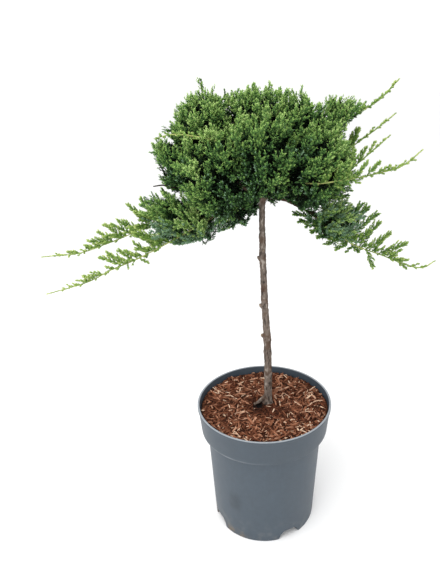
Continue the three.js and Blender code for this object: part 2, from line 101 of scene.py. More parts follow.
SOILED_X = (-45.0, -25.0)  # soil sticks to the foot left of this, and below this
SOILED_Z = (4.0, 20.0)
DUSTY_Z = (0.0, 50.0)

MULCH_LEVEL = POT_HEIGHT - 15
MULCH_EDGE = 108.3
MULCH_BANK = 4.0  # how much higher it lies near the wall
HOLLOW_MIDDLE = (-9.0, 6.0)  # of the hollow beside the stem's foot, painted dark as shade on the bed and the shreds
MOUND_RISE = 4.0  # of its middle over its edge
MOUND_WAVES = 1.1
DIP_DEPTH = 7.0
DIP_MIDDLE = (-14.0, 10.0)
DIP_SPREAD = 160.0
SEAT_LEVEL = MULCH_LEVEL + 2.7
SEAT_RADIUS = 30.0
SEAT_SLOPE = 6.0
SEAT_MIDDLE = (-0.4, 10.0)
MULCH_SIDES = 160
MULCH_RINGS = 60
BED_ROOM = 0.6  # between the bed and the pot's wall
BED_SINK = 1.2  # how far the bed lies under the shreds' level
CRUMBS = ((5.0, 3, 0.9), (2.2, 4, 0.6))  # size, seed and height
SHRED_SEED = 71
SHRED_EDGE = 3.0  # no shred's middle is nearer to the bed's edge
SHRED_LAYER = 3.2  # how deep they lie on each other
SHRED_SHARP = 40.0
STEM_ROOM = 9.5
HOLLOW_ROOM = 13.0
HOLLOW_SPREAD = 200.0
SHADED_PLACE = (8.0, -16.0, 30.0, 22.0)  # where the shreds are darker: middle and reach each way
PALE_SHREDS = 0.045  # the share of them that are pale, and their tone
PALE_TONE = 0.97

# The stem, as in the part's source: x, y, height and radius from the mulch to the graft

STEM = np.array([
    (5.6, 10.0, 206.0, 7.8),
    (6.0, 9.6, 214.0, 6.8),
    (6.3, 9.0, 232.0, 6.2),
    (6.3, 8.0, 283.0, 6.0),
    (4.2, 7.0, 345.0, 5.5),
    (1.5, 6.0, 380.0, 5.1),
    (0.1, 5.0, 411.0, 5.0),
    (-2.7, 4.0, 478.0, 4.6),
    (-3.3, 3.0, 530.0, 4.3),
    (-3.3, 2.0, 554.0, 4.5),
    (-3.4, 1.5, 566.0, 5.4),
    (-4.0, 0.5, 576.0, 6.4),
])
HEAD = np.array((-4.0, 0.5, 576.0))
HEAD_RADIUS = 10.5
BARK_SWELL = 0.8  # how far the bark's plates stand out of the source's stem
FOOT_SWELL = 1.2
STEM_STEP = 1.5
STEM_SEED = 40
STEM_SIDES = 72
BARK_PLATE = 3.4
BARK_STRETCH = 0.45  # plates are longer than wide by one over this

# Pruning stubs: height, turn and size

STUBS = (
    (334, -80, 4.2),
    (388, -70, 4.8),
    (402, 150, 3.6),
    (470, -95, 3.8),
    (484, 10, 3.4),
    (512, 160, 3.6),
)
STUB_TILT = 35.0
STUB_EDGE = 0.55
FLARE_ROOTS = ((-78, 24), (-150, 17), (165, 15))  # turn and reach
ROOT_ROWS = 26
ROOT_SIDES = 28
ROOT_SEED = 60
ROOT_RADIUS = 5.0
ROOT_TIP_RADIUS = 2.4
ROOT_HEIGHT = 16.0

GAP = 0.3
BOUGH_FOOT_RADIUS = 2.5
BOUGH_TIP_RADIUS = 2.0
BOUGH_REACH = 0.62
FORK_REACH = 0.9
BOUGH_SAG = 4.0
BOUGH_ROWS = 34
BOUGH_SIDES = 20
BOUGH_SEED = 90
BOUGH_SOCKET = 4.0  # how far it is sunk into what carries it
SOCKET_RADIUS = 3.6
WHIP_FOOT_RADIUS = 2.0
WHIP_TIP_RADIUS = 0.9

# Where along a long shoot its leafy sprays begin, if that is before the source's side shoots

LEAFY_FROM = {
    "whip_left_upper": 0.0,
    "whip_left_lower": 0.0,
    "whip_right_lower": 0.0,
    "whip_right_back": 0.3,
    "whip_right_middle": 0.3,
    "whip_right_front": 0.45,
}

# Small sprays between the source's side shoots: from one to the next, and their lengths at a shoot's foot
# and tip

FILL_STEP = 12.0
FILL_LENGTHS = {
    "whip_left_upper": (20, 13),
    "whip_left_lower": (20, 13),
    "whip_right_lower": (22, 12),
    "whip_right_front": (18, 10),
    "whip_right_back": (13, 7),
    "whip_right_middle": (13, 7),
}

# How long the source's upper side shoots are here, as a share, and how steeply sprays rise near a shoot's
# foot

SOURCE_SHARES = {"whip_right_back": 0.4, "whip_right_middle": 0.45, "whip_right_front": 0.5}
RISES = {
    "whip_left_upper": 0.22,
    "whip_left_lower": 0.45,
    "whip_right_lower": 1.0,
    "whip_right_front": 0.8,
    "whip_right_back": 1.9,
    "whip_right_middle": 1.8,
}

# Sprays that are given one by one: the share of its foot along what carries it, and its tip's x and height

SHOWN_SPRAYS = {
    "whip_left_upper": (
        (0.35, -206, 562), (0.29, -184, 572), (0.42, -222, 537), (0.51, -248, 528), (0.57, -256, 519),
        (0.60, -273, 503), (0.66, -284, 492), (0.78, -313, 481), (0.34, -199, 525), (0.31, -178, 525),
        (0.31, -194, 552), (0.46, -232, 532),
    ),
    "whip_left_lower": (
        (0.53, -205, 503), (0.61, -245, 490), (0.60, -234, 497), (0.66, -238, 476), (0.48, -193, 513),
        (0.52, -170, 483), (0.58, -202, 473), (0.71, -260, 466), (0.75, -275, 459), (0.79, -285, 451),
        (0.43, -177, 520), (0.55, -217, 501), (0.39, -196, 531), (0.38, -187, 527), (0.41, -190, 524),
        (0.40, -168, 522),
    ),
    "whip_right_lower": (
        (0.36, 170, 550), (0.45, 176, 534), (0.52, 187, 524), (0.59, 216, 504), (0.51, 165, 469),
        (0.39, 147, 486), (0.65, 219, 478), (0.73, 221, 462), (0.09, 43, 548), (0.12, 51, 537),
        (0.15, 62, 529), (0.20, 70, 520), (0.26, 81, 510), (0.31, 93, 502), (0.37, 107, 496),
        (0.41, 124, 489), (0.29, 148, 563), (0.34, 158, 558), (0.66, 210, 494), (0.42, 160, 526),
    ),
    "whip_right_back": (
        (0.58, 144, 670), (0.75, 168, 672), (0.85, 186, 681), (0.53, 133, 666), (0.55, 139, 673),
    ),
    "whip_right_middle": ((0.65, 148, 649), (0.77, 163, 655), (0.61, 131, 646)),
    "whip_right_front": (
        (0.56, 136, 638), (0.63, 153, 638), (0.70, 168, 632), (0.75, 182, 628), (0.50, 114, 637),
        (0.44, 101, 636), (0.38, 85, 632), (0.47, 114, 608), (0.53, 126, 610), (0.42, 103, 604),
    ),
}
LEADER_FROM = 0.92  # from this share on a long shoot is a bare leader

# Small shoots on the crown: a pale one over its left face, dark tips on top, as feet and ends, and a bare
# twig

STRAY_PALE = ((-60, -84, 664), (-92, -88, 671), (-120, -76, 672), (-150, -54, 664))
STRAY_TIPS = ((-86, -12, 706), (-58, -12, 706)), ((-88, -12, 741), (-55, -14, 727))
STRAY_TWIG = ((-128, -30, 592), (-145, -31, 596), (-160, -30, 594))
STRAY_SEED = 91
STRAY_ROWS = 60
STRAY_SPRAYS = 13
STRAY_LEAFY = (4, 52)  # its rows that carry the first and last spray
STRAY_SIZES = (13, 7)  # of those two sprays
STRAY_TWIG_ROWS = 8
WHIP_ROWS = 70
WHIP_SIDES = 8
WHIP_WOODY = 0.25  # how far up from its foot a long shoot's stem is brown
LEADER_ROWS = 60

# The masses of the crown, as in the part's source: middle, reach each way, seed, twigs tried, and the
# bough that theirs forks from

MASSES = {
    "crown_top": ((-16, 14, 650), (92, 94, 86), 11, 32, None),
    "top_left": ((-80, -4, 658), (78, 84, 80), 12, 38, None),
    "top_right": ((50, 2, 654), (76, 84, 74), 13, 38, None),
    "arm_right": ((108, 2, 694), (52, 36, 24), 14, 24, "right"),
    "left": ((-108, -14, 628), (70, 78, 60), 15, 42, "low_left"),
    "front_left": ((-62, -64, 620), (72, 76, 70), 16, 42, None),
    "front": ((0, -70, 636), (68, 74, 70), 17, 42, None),
    "front_right": ((58, -58, 626), (72, 72, 64), 18, 32, None),
    "right": ((80, 8, 608), (66, 74, 62), 19, 40, None),
    "back_right": ((48, 74, 628), (80, 74, 74), 20, 25, None),
    "back_left": ((-60, 74, 628), (84, 74, 74), 21, 25, None),
    "low_left": ((-114, -22, 550), (70, 60, 56), 22, 23, None),
    "low_front": ((-48, -36, 570), (56, 56, 46), 23, 30, None),
    "low_right": ((97, -10, 542), (55, 50, 46), 24, 22, None),
    "low_back": ((-8, 74, 572), (74, 56, 46), 25, 32, None),
}

# The long shoots, as in the part's source: bough, path, bare share, side shoots, longest one, seed

WHIPS = {
    "whip_left_upper": (
        "low_left",
        ((-160, -14, 544), (-206, -6, 521), (-246, 0, 503), (-294, 8, 482), (-356, 16, 471)),
        0.12, 17, 62, 31,
    ),
    "whip_left_lower": (
        "low_front",
        ((-150, -44, 508), (-198, -41, 483), (-228, -40, 470), (-265, -37, 450), (-333, -34, 428)),
        0.4, 17, 60, 32,
    ),
    "whip_right_top": (
        "arm_right",
        ((132, 0, 694), (150, -2, 704), (166, -4, 716), (188, -8, 741)),
        0.3, 8, 18, 33,
    ),
    "whip_right_back": (
        "back_right",
        ((116, 22, 634), (142, 30, 650), (168, 36, 668), (199, 42, 692)),
        0.5, 10, 34, 34,
    ),
    "whip_right_middle": (
        "top_right",
        ((112, -8, 604), (136, -4, 622), (160, 0, 642), (184, 4, 663)),
        0.5, 10, 36, 35,
    ),
    "whip_right_front": (
        "front_right",
        ((66, -104, 612), (114, -92, 616), (146, -80, 620), (187, -72, 631), (213, -66, 651)),
        0.28, 17, 42, 36,
    ),
    "whip_right_lower": (
        "low_right",
        ((113, -12, 519), (132, -14, 503), (176, -18, 487), (241, -20, 466), (261, -20, 477)),
        0.12, 19, 58, 37,
    ),
    "whip_back_left": (
        "back_left",
        ((-72, 140, 600), (-86, 178, 584), (-98, 214, 566), (-110, 244, 556)),
        0.42, 12, 44, 38,
    ),
    "whip_back_right": (
        "back_right",
        ((64, 138, 614), (78, 172, 606), (92, 206, 600), (104, 236, 604)),
        0.42, 12, 42, 39,
    ),
}

TWIG_LENGTH = 46.0
TWIG_SHARE = 0.85
GOLDEN_TURN = math.pi * (3 - math.sqrt(5))
UP = np.array((0, 0, 1.0))

# What this file adds to the source's twigs

SPRAY_LENGTH = 25.0
SHOOT_STEP = 3.3  # along a spray from one short side shoot to the next
SHOOT_SHARE = (0.42, 0.22)  # their lengths at a spray's foot and tip, as shares of its own
FLAT_STEP = 3.4  # the same on a flat spray
FLAT_SHARE = (0.34, 0.13)
LONGEST_LOBE = 9.5
LOBE_NEEDLES = 10
PLUME_NEEDLES = 15  # on each short shoot of a long shoot's sprays
MOST_SHOOTS = 14  # on one spray
MOST_PLUMES = 16
SHORTEST_SHOOT = 3.2
LONGEST_SHOOT = 9.0
SHOOT_NEEDLES = 8
LEADER_NEEDLES = 14
STEM_NEEDLES = 8
NEEDLE_OFF = 0.2  # from its curve to its foot
NEEDLE_FLAT = 0.8  # its thickness as a share of its width
TWIG_LEAFY = 20.0  # how far a source twig shows as wood past its root
NODE_BACK = 8.0  # how far before a spray's foot its stem bends into it
CREVICE = 0.45  # how near a wall may be for a twig that fills the valley between two masses
SHOWN_DEPTH = 0.74  # no finer spray ends deeper in the crown than this
INNER_DEPTH = 0.74  # how far out the dark shoots inside the crown reach
INNER_NEEDLES = 14
LIFT = 0.35  # how strongly sprays turn upwards
CLUMP_SIZE = 34.0  # of the uneven swellings on a mass
CLUMP_SEED = 5
CLUMP_DEPTH = 0.11  # how far the hollows between them sink, as a share of the reach
SKY_GAP_SIZE = 22.0  # of the gaps in a mass that the sky shows through
SKY_GAP_SEED = 9
DUST_SIZE = 60.0  # of the patches of bluish needles
DUST_SEED = 14
MOUND_TOP = 8.0  # how far from a source twig's tip its own mound of sprays is level
MOUND_SLOPE = 14.0  # and over how much more it falls
MOUND_DEPTH = 8.0
FAN = 0.5  # how strongly the sprays of a mound spread from its middle
BOUGH_LEAFY = (0.22, 0.95)  # the shares along a low bough between which sprays grow on it
BOUGH_SPRAYS = 30
LIMB_ROWS = 200  # places along a limb that sprays stand on
LEAFY_BOUGHS = ("low_left", "low_right")
LONG_EXTRA = (5.0, 14.0)

# How a mass grows: from one spray to the next on its outline, how far they sweep outwards, the share that
# is missing where the sky shows through, the share that stands out of the outline, how much longer the
# sprays are, its outline as a share of the source's, how many sprays there are to one inner shoot, and
# the share of flat ones

Habit = namedtuple("Habit", "spacing sweep gaps proud longer reach inner flat")
DENSE = Habit(14.0, 0.5, 0.0, 0.06, 1.0, 1.0, 1, 0.0)
HABITS = {
    "crown_top": DENSE._replace(reach=1.1, proud=0.0),
    "left": DENSE._replace(reach=0.86),
    "top_left": DENSE._replace(reach=0.95),
    "top_right": DENSE._replace(reach=1.06),
    "low_left": Habit(15.0, 0.9, 0.10, 0.30, 1.3, 1.0, 3, 1.0),
    "low_right": Habit(15.5, 0.9, 0.15, 0.30, 1.3, 1.0, 3, 1.0),
    "arm_right": Habit(14.0, 1.2, 0.10, 0.20, 1.1, 0.93, 2, 0.5),
    "low_front": Habit(15.0, 0.8, 0.10, 0.15, 1.1, 1.0, 2, 0.5),
    "low_back": Habit(15.0, 0.8, 0.15, 0.20, 1.1, 1.0, 2, 0.5),
}

# The crown's outline on the plane through the stem, as points of x and height: its underside, left and
# right of the stem, its top and its left edge

UNDERSIDE_LEFT = (
    (-176, 476), (-150, 480), (-128, 486), (-117, 502), (-108, 504), (-99, 513), (-93, 508), (-82, 511),
    (-75, 519), (-63, 519), (-52, 530), (-45, 529), (-37, 536), (-29, 534), (-18, 545), (-12, 556), (2, 567),
)
UNDERSIDE_RIGHT = ((23, 569), (40, 567), (46, 562), (58, 551), (77, 532), (93, 513), (112, 497), (132, 486))
VIEW_FALL = 0.235  # how much higher each millimetre back looks in the photo's view
UNDERSIDE_RAGGED = 12.0
RAGGED_SIZE = 16.0
RAGGED_SEED = 12
TOP = (
    (-190, 600), (-173, 648), (-147, 672), (-133, 682), (-127, 697), (-118, 711), (-100, 729),
    (-88, 742), (-77, 725), (-60, 720), (-34, 735), (-6, 739), (44, 739), (54, 731), (64, 716),
    (72, 709), (80, 711), (94, 716), (110, 711), (130, 717), (160, 728),
)
LEFT_EDGE = (
    (-220, 555), (-190, 566), (-164, 577), (-160, 589), (-156, 601), (-146, 609), (-138, 617),
    (-142, 624), (-152, 631), (-162, 641), (-170, 648), (-162, 655), (-154, 664), (-139, 670),
    (-134, 681), (-126, 691), (-125, 702), (-118, 713), (-100, 724), (-90, 735),
)
LEFT_ROOM = 4.0  # for the short shoots on the outermost sprays
TOP_ROOM = 5.0
TWIG_TOP_ROOM = 3.0
LEFT_CUT = 26.0  # the most that a spray is cut back
TOP_CUT = 22.0
SHALLOW = 0.5  # the least slope at which a spray is taken to cross an edge
ARM_UNDERSIDE = (105.0, 669.0, 0.75)  # the right arm's: x, height there, and its rise to the right

# Where the crown's outline swells: middle, radius, and how far

SWELLS = np.array([
    (-88, -20, 722, 16, 12),
    (36, -10, 720, 24, 10),
    (-70, -90, 553, 18, 9),
    (-6, 112, 650, 34, 14),
], float)

# Small patches of sky beside the crown, on the plane through the stem: x, height, radius

SKY = (
    (120, 587, 9.0),
    (132, 590, 4.0),
    (119, 667, 6.0),
    (128, 674, 6.0),
    (-172, 527, 8.0),
    (5, 561, 9.0),
    (-73, 513, 8.0),
)
WHIP_SAG = {"whip_left_upper": 6.0}  # how far the middle of a long shoot hangs below the source's path

# Places on the crown that are darker, and then also sunken, or brighter: middle, radius, and how much

LIT_PLACES = np.array([
    (45, -105, 677, 24, -0.5),
    (25, -128, 662, 20, -0.15),
    (-53, -132, 643, 26, -0.2),
    (-36, -132, 602, 20, -0.3),
    (-11, -140, 634, 18, -0.3),
    (-61, -85, 691, 20, 0.3),
    (-131, -87, 627, 16, -0.2),
    (-38, -110, 672, 18, -0.2),
    (8, -75, 693, 28, -0.3),
    (12, -135, 660, 20, 0.25),
    (-40, -130, 619, 18, 0.15),
    (-85, -132, 640, 24, 0.3),
    (95, -119, 632, 28, 0.35),
    (8, -43, 714, 60, 0.12),
    (-105, -56, 715, 34, 0.05),
    (-105, -70, 545, 50, 0.45),
    (-120, -80, 589, 24, -0.45),
    (-36, -66, 556, 24, 0.35),
    (27, -120, 607, 28, 0.45),
    (91, -70, 583, 36, -0.35),
    (75, -30, 532, 18, 0.2),
    (105, -50, 550, 46, 0.25),
    (-150, -50, 600, 34, -0.2),
    (-140, -60, 640, 34, -0.18),
    (-6, 120, 640, 44, 0.45),
])
SUNK_PLACE = 16.0  # how far a place sinks for each unit that it is darker
COOL_LEVEL = 575.0  # below this the needles are painted bluish and brighter, as the cool light and shade of the crown's lower part
COOL_DEPTH = 50.0  # and this far below they are so in full
COOL_RIGHT = 25.0  # how much higher that begins on the right
COOL_EDGE = (50.0, 30.0)  # which starts at this x, and takes this far
LIT_FOOT = 520.0  # the crown's light grows from this height over this many millimetres
LIT_RISE = 200.0
LIT_LEFT = (25.0, 60.0)  # and at its sides from this far out over this far
LIT_RIGHT = (65.0, 50.0)

# Tones of needles, from 0 for the oldest and darkest green to 5 for the youngest and brightest, chosen partly
# by age and partly as painted light and shade, and how much younger and brighter they are at a curve's tip

INNER_TONE = 0.3
INNER_CLIMB = 0.6
INNER_SIZE = 2.5
STEM_TONE = 0.4
STEM_CLIMB = 0.9
STEM_SIZE = 1.7
SPRAY_TONE = 0.4
SPRAY_CLIMB = 1.9
BOUGH_TONE = 0.8
BOUGH_CLIMB = 2.0
BOUGH_DUST = 0.45
ARM_TONE = 1.5  # how many tones brighter the right arm's inner needles are, and they are smaller by half of it
DUSTY_TONE = 3  # the first of the tones that may be bluish
MOST_BLUISH = 0.6
# The grown needles' greens are lit and shaded copies of one green, which painted light and shade pick among
# along with age. The first is the oldest needles inside, painted darker still as the deep shade in the crown,
# and the bluish one is also painted as cool shade.
GROWN_GREENS = {
    "old": 0.75,
    "shade": 0.6,
    "deep": 0.55,
    "middle": 0.5,
    "fresh": 0.5,
    "tip": 0.5,
    "dusty": 0.6,
}  # how rough each is
YOUNG_GREENS = {"shade": 0.6, "deep": 0.6, "middle": 0.6, "fresh": 0.55, "tip": 0.5}
GROWN_TONES = len(GROWN_GREENS) - 1  # all but the bluish one
YOUNG_TONES = len(YOUNG_GREENS)

NEEDLE_GLOSS = 0.12
WOOD_GLOSS = 0.2

CAMERA_PLACE = (0.00107, -0.78078, 0.73978)
CAMERA_PITCH = 18.0
FOCAL_PIXELS = 526.29
AXIS_PIXEL = (265.0, 251.16)
SENSOR = 36.0
FLOOR_SIZE = 80000.0


def linear(red, green, blue):
    """A screen colour of 0 to 255 as linear light: each channel's share is raised by the screen's curve."""
    shares = np.array((red, green, blue)) / 255
    light = np.where(shares <= 0.04045, shares / 12.92, ((shares + 0.055) / 1.055) ** 2.4)
    return tuple(float(x) for x in light)


# Numbers and curves


def seeded(seed):
    """Numbers from 0 to 1 by the same 32-bit mixing steps as in the source, so the same twigs grow."""
    mask = 0xFFFFFFFF
    state = seed & mask

    def draw():
        nonlocal state
        state = (state + 0x6D2B79F5) & mask
        t = ((state ^ (state >> 15)) * (state | 1)) & mask
        t ^= (t + ((t ^ (t >> 7)) * (t | 61))) & mask
        return ((t ^ (t >> 14)) & mask) / 4294967296

    return draw


def unit(rows):
    """Each row divided by its own length."""
    rows = np.asarray(rows, float)
    return rows / np.maximum(np.linalg.norm(rows, axis=-1, keepdims=True), 1e-9)


def lattice(cells, seed):
    """A repeatable number from 0 to 1 for each whole-numbered cell: its three indices are multiplied by large
    primes, joined by exclusive or, and mixed."""
    cells = cells.astype(np.int64)
    key = cells[..., 0] * 73856093 ^ cells[..., 1] * 19349663 ^ cells[..., 2] * 83492791 ^ seed * 2654435
    key = ((key ^ (key >> 13)) * 1274126177) & 0xFFFFFFFF
    key = ((key ^ (key >> 16)) * 2246822519) & 0xFFFFFFFF
    return (key ^ (key >> 15)) / 4294967296


def smooth_noise(points, size, seed):
    """Value noise from -1 to 1: random values on a cubic lattice of the given size, blended in each cell by
    3t2 - 2t3 of the place along each side."""
    grid = points / size
    low = np.floor(grid)
    part = grid - low
    part = part * part * (3 - 2 * part)
    total = np.zeros(points.shape[:-1])
    for corner in np.ndindex(2, 2, 2):
        weight = np.prod(np.where(np.array(corner) == 1, part, 1 - part), axis=-1)
        total += weight * lattice(low + corner, seed)
    return 2 * total - 1


def plates(points, size, seed):
    """Bark plates: each point belongs to the nearest of one random site a cell. Gives that site's own random
    number, and how much further the second nearest site is, which is 0 on the crack between two plates."""
    grid = points / size
    low = np.floor(grid)
    first = np.full(points.shape[:-1], 9.0)
    second = first.copy()
    owner = np.zeros(points.shape[:-1])
    for corner in np.ndindex(3, 3, 3):
        cell = low + np.array(corner) - 1
        site = cell + np.stack([lattice(cell, seed + i) for i in range(3)], axis=-1)
        away = np.linalg.norm(grid - site, axis=-1)
        nearer = away < first
        second = np.where(nearer, first, np.minimum(second, away))
        owner = np.where(nearer, lattice(cell, seed + 7), owner)
        first = np.where(nearer, away, first)
    return owner, second - first


def spline(points, count):
    """Places and ways at equal steps along the source's centripetal Catmull-Rom curve: between two points
    it is the cubic whose end slopes come from the neighbours, with knots spaced by the square root of
    distance."""
    points = np.asarray(points, float)
    before, after = 2 * points[0] - points[1], 2 * points[-1] - points[-2]
    knots = np.vstack([before, points, after])
    step = np.maximum(np.linalg.norm(np.diff(knots, axis=0), axis=1) ** 0.5, 1e-4)
    t = np.linspace(0, 1, 80)[:, None]
    runs = []
    for i in range(len(points) - 1):
        p0, p1, p2, p3 = knots[i : i + 4]
        d0, d1, d2 = step[i : i + 3]
        leave = ((p1 - p0) / d0 - (p2 - p0) / (d0 + d1) + (p2 - p1) / d1) * d1
        arrive = ((p2 - p1) / d1 - (p3 - p1) / (d1 + d2) + (p3 - p2) / d2) * d1
        bend = -3 * p1 + 3 * p2 - 2 * leave - arrive
        twist = 2 * p1 - 2 * p2 + leave + arrive
        runs.append(p1 + leave * t + bend * t**2 + twist * t**3)
    dense = np.vstack(runs)
    travelled = np.concatenate([[0], np.cumsum(np.linalg.norm(np.diff(dense, axis=0), axis=1))])
    places = between(dense, travelled, np.linspace(0, travelled[-1], count))
    return places, unit(np.gradient(places, axis=0))


def between(rows, known, wanted):
    """Points at wanted distances along rows of points that lie at known ones, straight from one to the
    next."""
    return np.stack([np.interp(wanted, known, rows[:, i]) for i in range(3)], axis=-1)


def at_share(rows, share):
    """The point at a share of the way, or the points at many, along evenly spaced rows."""
    return between(rows, np.linspace(0, 1, len(rows)), share)


def heading(turn, rise=0.0):
    """A way turned by degrees from the front, and tipped up by rise degrees."""
    turn, rise = math.radians(turn), math.radians(rise)
    return np.array((math.sin(turn) * math.cos(rise), -math.cos(turn) * math.cos(rise), math.sin(rise)))


def frames_of(ways, hint):
    """Two unit vectors across each way: the hint with its part along the way taken off, and their product."""
    first = unit(hint - np.sum(ways * hint, axis=-1, keepdims=True) * ways)
    return first, np.cross(ways, first)


def across_of(ways):
    """A hint for frames_of: the axis that each way leans on least."""
    return np.eye(3)[np.argmin(np.abs(ways), axis=-1)]


# Meshes

NO_TRIANGLES = np.zeros((0, 3), int)


def tube_faces(rings, sides, count=1):
    """Quads between neighbouring rings of count tubes, and triangle fans that close both ends."""
    ring, side = np.meshgrid(np.arange(rings - 1), np.arange(sides), indexing="ij")
    here, there = ring * sides + side, ring * sides + (side + 1) % sides
    quads = np.stack([here, there, there + sides, here + sides], axis=-1).reshape(-1, 4)
    fan = np.arange(1, sides - 1)
    foot = np.stack([0 * fan, fan + 1, fan], axis=-1)
    top = np.stack([0 * fan, fan, fan + 1], axis=-1) + (rings - 1) * sides
    ends = np.vstack([foot, top])
    start = (np.arange(count) * rings * sides)[:, None, None]
    return (quads[None] + start).reshape(-1, 4), (ends[None] + start).reshape(-1, 3)


def tubes(paths, radii, sides):
    """Many tubes at once. A corner is the path's place plus its radius times the cosine and sine of the
    corner's turn along two vectors across the path. paths is tubes by rings by 3, radii tubes by rings."""
    ways = unit(np.gradient(paths, axis=1))
    mean = unit(paths[:, -1] - paths[:, 0])
    first, second = frames_of(ways, across_of(mean)[:, None, :])
    turn = np.arange(sides) * 2 * math.pi / sides
    ring = np.cos(turn)[:, None] * first[:, :, None] + np.sin(turn)[:, None] * second[:, :, None]
    corners = paths[:, :, None] + radii[:, :, None, None] * ring
    quads, ends = tube_faces(paths.shape[1], sides, paths.shape[0])
    return corners.reshape(-1, 3), quads, ends


def joined(parts):
    """Several (corners, quads, triangles) as one."""
    corners, quads, triangles, start = [], [], [], 0
    for points, fours, threes in parts:
        corners.append(points)
        quads.append(np.asarray(fours, np.int64).reshape(-1, 4) + start)
        triangles.append(np.asarray(threes, np.int64).reshape(-1, 3) + start)
        start += len(points)
    return np.vstack(corners), np.vstack(quads), np.vstack(triangles)


def slots_of(parts, kinds):
    """The material slot of each face of joined parts, where each part has one kind: quads first."""
    return np.concatenate([np.repeat(kinds, [len(part[i]) for part in parts]) for i in (1, 2)])


def new_piece(name, shape, materials, slots=None, sharp=None, uv=None, tone=None):
    """An object from (corners in mm, quads, triangles), with each face's material slot, a UV place for each
    corner of the faces, and a number for each point, where they are given."""
    corners, quads, triangles = shape
    mesh = bpy.data.meshes.new(name)
    mesh.vertices.add(len(corners))
    mesh.vertices.foreach_set("co", (corners * MM).astype(np.float32).ravel())
    turned = np.concatenate([quads.ravel(), triangles.ravel()]).astype(np.int32)
    starts = np.concatenate([
        np.arange(len(quads)) * 4,
        len(quads) * 4 + np.arange(len(triangles)) * 3,
    ]).astype(np.int32)
    mesh.loops.add(len(turned))
    mesh.polygons.add(len(starts))
    mesh.polygons.foreach_set("loop_start", starts)
    mesh.polygons.foreach_set("vertices", turned)
    for material in materials:
        mesh.materials.append(material)
    if slots is not None:
        mesh.polygons.foreach_set("material_index", slots.astype(np.int32))
    mesh.update(calc_edges=True)
    if uv is not None:
        layer = mesh.uv_layers.new(name="grain")
        layer.data.foreach_set("uv", uv.astype(np.float32).ravel())
    if tone is not None:
        attribute = mesh.attributes.new("tone", "FLOAT", "POINT")
        attribute.data.foreach_set("value", tone.astype(np.float32))
    mesh.polygons.foreach_set("use_smooth", np.ones(len(starts), bool))
    if sharp is not None:
        mesh.set_sharp_from_angle(angle=math.radians(sharp))
    piece = bpy.data.objects.new(name, mesh)
    bpy.context.scene.collection.objects.link(piece)
    return piece


def dress(piece, slot, *nodes):
    """Says what a piece rides on and hides the CAD nodes that it stands for; the finish it is given is not
    used.
    """
    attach(piece, "root")
    if nodes:
        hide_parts(*nodes)


# Shaders


class Value:
    """One output of a material's nodes. Sums, products and powers of it add Math nodes."""

    def __init__(self, net, socket):
        self.net = net
        self.socket = socket

    def _math(self, operation, first, second):
        return self.net.add("ShaderNodeMath", {"operation": operation}, {0: first, 1: second})

    def __add__(self, other):
        return self._math("ADD", self, other)

    def __radd__(self, other):
        return self._math("ADD", other, self)

    def __sub__(self, other):
        return self._math("SUBTRACT", self, other)

    def __rsub__(self, other):
        return self._math("SUBTRACT", other, self)

    def __mul__(self, other):
        return self._math("MULTIPLY", self, other)

    def __rmul__(self, other):
        return self._math("MULTIPLY", other, self)

    def __pow__(self, other):
        return self._math("POWER", self, other)

    def held(self):
        """The value kept between 0 and 1."""
        return self.net.add("ShaderNodeClamp", {}, {0: self})


class Net:
    """The nodes of one material, ending in a Principled shader."""

    def __init__(self, name):
        self.material = bpy.data.materials.new(name)
        self.material.use_nodes = True
        self.tree = self.material.node_tree
        self.shader = self.tree.nodes["Principled BSDF"]

    def add(self, kind, settings, inputs, output=0):
        """A node of a kind: its settings are set first, then the numbers or links of its inputs."""
        node = self.tree.nodes.new(kind)
        for name, setting in settings.items():
            if name == "stops":
                self._set_stops(node.color_ramp, setting)
            else:
                setattr(node, name, setting)
        for name, given in inputs.items():
            self.feed(node.inputs[name], given)
        return Value(self, node.outputs[output])

    def _set_stops(self, ramp, stops):
        while len(ramp.elements) < len(stops):
            ramp.elements.new(1.0)
        for element, (place, colour) in zip(ramp.elements, stops):
            element.position = place
            element.color = (*colour, 1.0)

    def feed(self, socket, given):
        if isinstance(given, Value):
            self.tree.links.new(given.socket, socket)
        else:
            socket.default_value = given

    def place(self, stretch=(1, 1, 1)):
        """Object coordinates, stretched."""
        where = self.add("ShaderNodeTexCoord", {}, {}, "Object")
        return self.add("ShaderNodeMapping", {}, {"Vector": where, "Scale": stretch})

    def noise(self, where, size, detail=3.0, roughness=0.55):
        """Noise whose lumps are about size metres wide."""
        inputs = {"Vector": where, "Scale": 1 / size, "Detail": detail, "Roughness": roughness}
        return self.add("ShaderNodeTexNoise", {}, inputs, "Fac")

    def axis(self, where, output):
        return self.add("ShaderNodeSeparateXYZ", {}, {0: where}, output)

    def step(self, value, low, high):
        """0 below low, 1 above high, and smooth between."""
        settings = {"interpolation_type": "SMOOTHSTEP"}
        return self.add("ShaderNodeMapRange", settings, {0: value, 1: low, 2: high})

    def mix(self, share, first, second):
        """Two colours mixed by a share."""
        first = first if isinstance(first, Value) else (*first, 1.0)
        second = second if isinstance(second, Value) else (*second, 1.0)
        return self.add("ShaderNodeMix", {"data_type": "RGBA"}, {0: share, 6: first, 7: second}, 2)

    def ramp(self, share, stops):
        return self.add("ShaderNodeValToRGB", {"stops": stops}, {0: share})

    def band(self, value, low, low_end, high, high_end):
        """1 between two levels, with a smooth edge at each, given in millimetres."""
        return self.step(value, low * MM, low_end * MM) - self.step(value, high * MM, high_end * MM)

    def bump(self, height, strength, distance):
        inputs = {"Strength": strength, "Distance": distance, "Height": height}
        return self.add("ShaderNodeBump", {}, inputs)

    def finish(self, **inputs):
        """Feeds the shader's sockets, named with underscores for spaces, and gives the material."""
        for name, given in inputs.items():
            if isinstance(given, tuple):
                given = (*given, 1.0)
            self.feed(self.shader.inputs[name.replace("_", " ")], given)
        return self.material


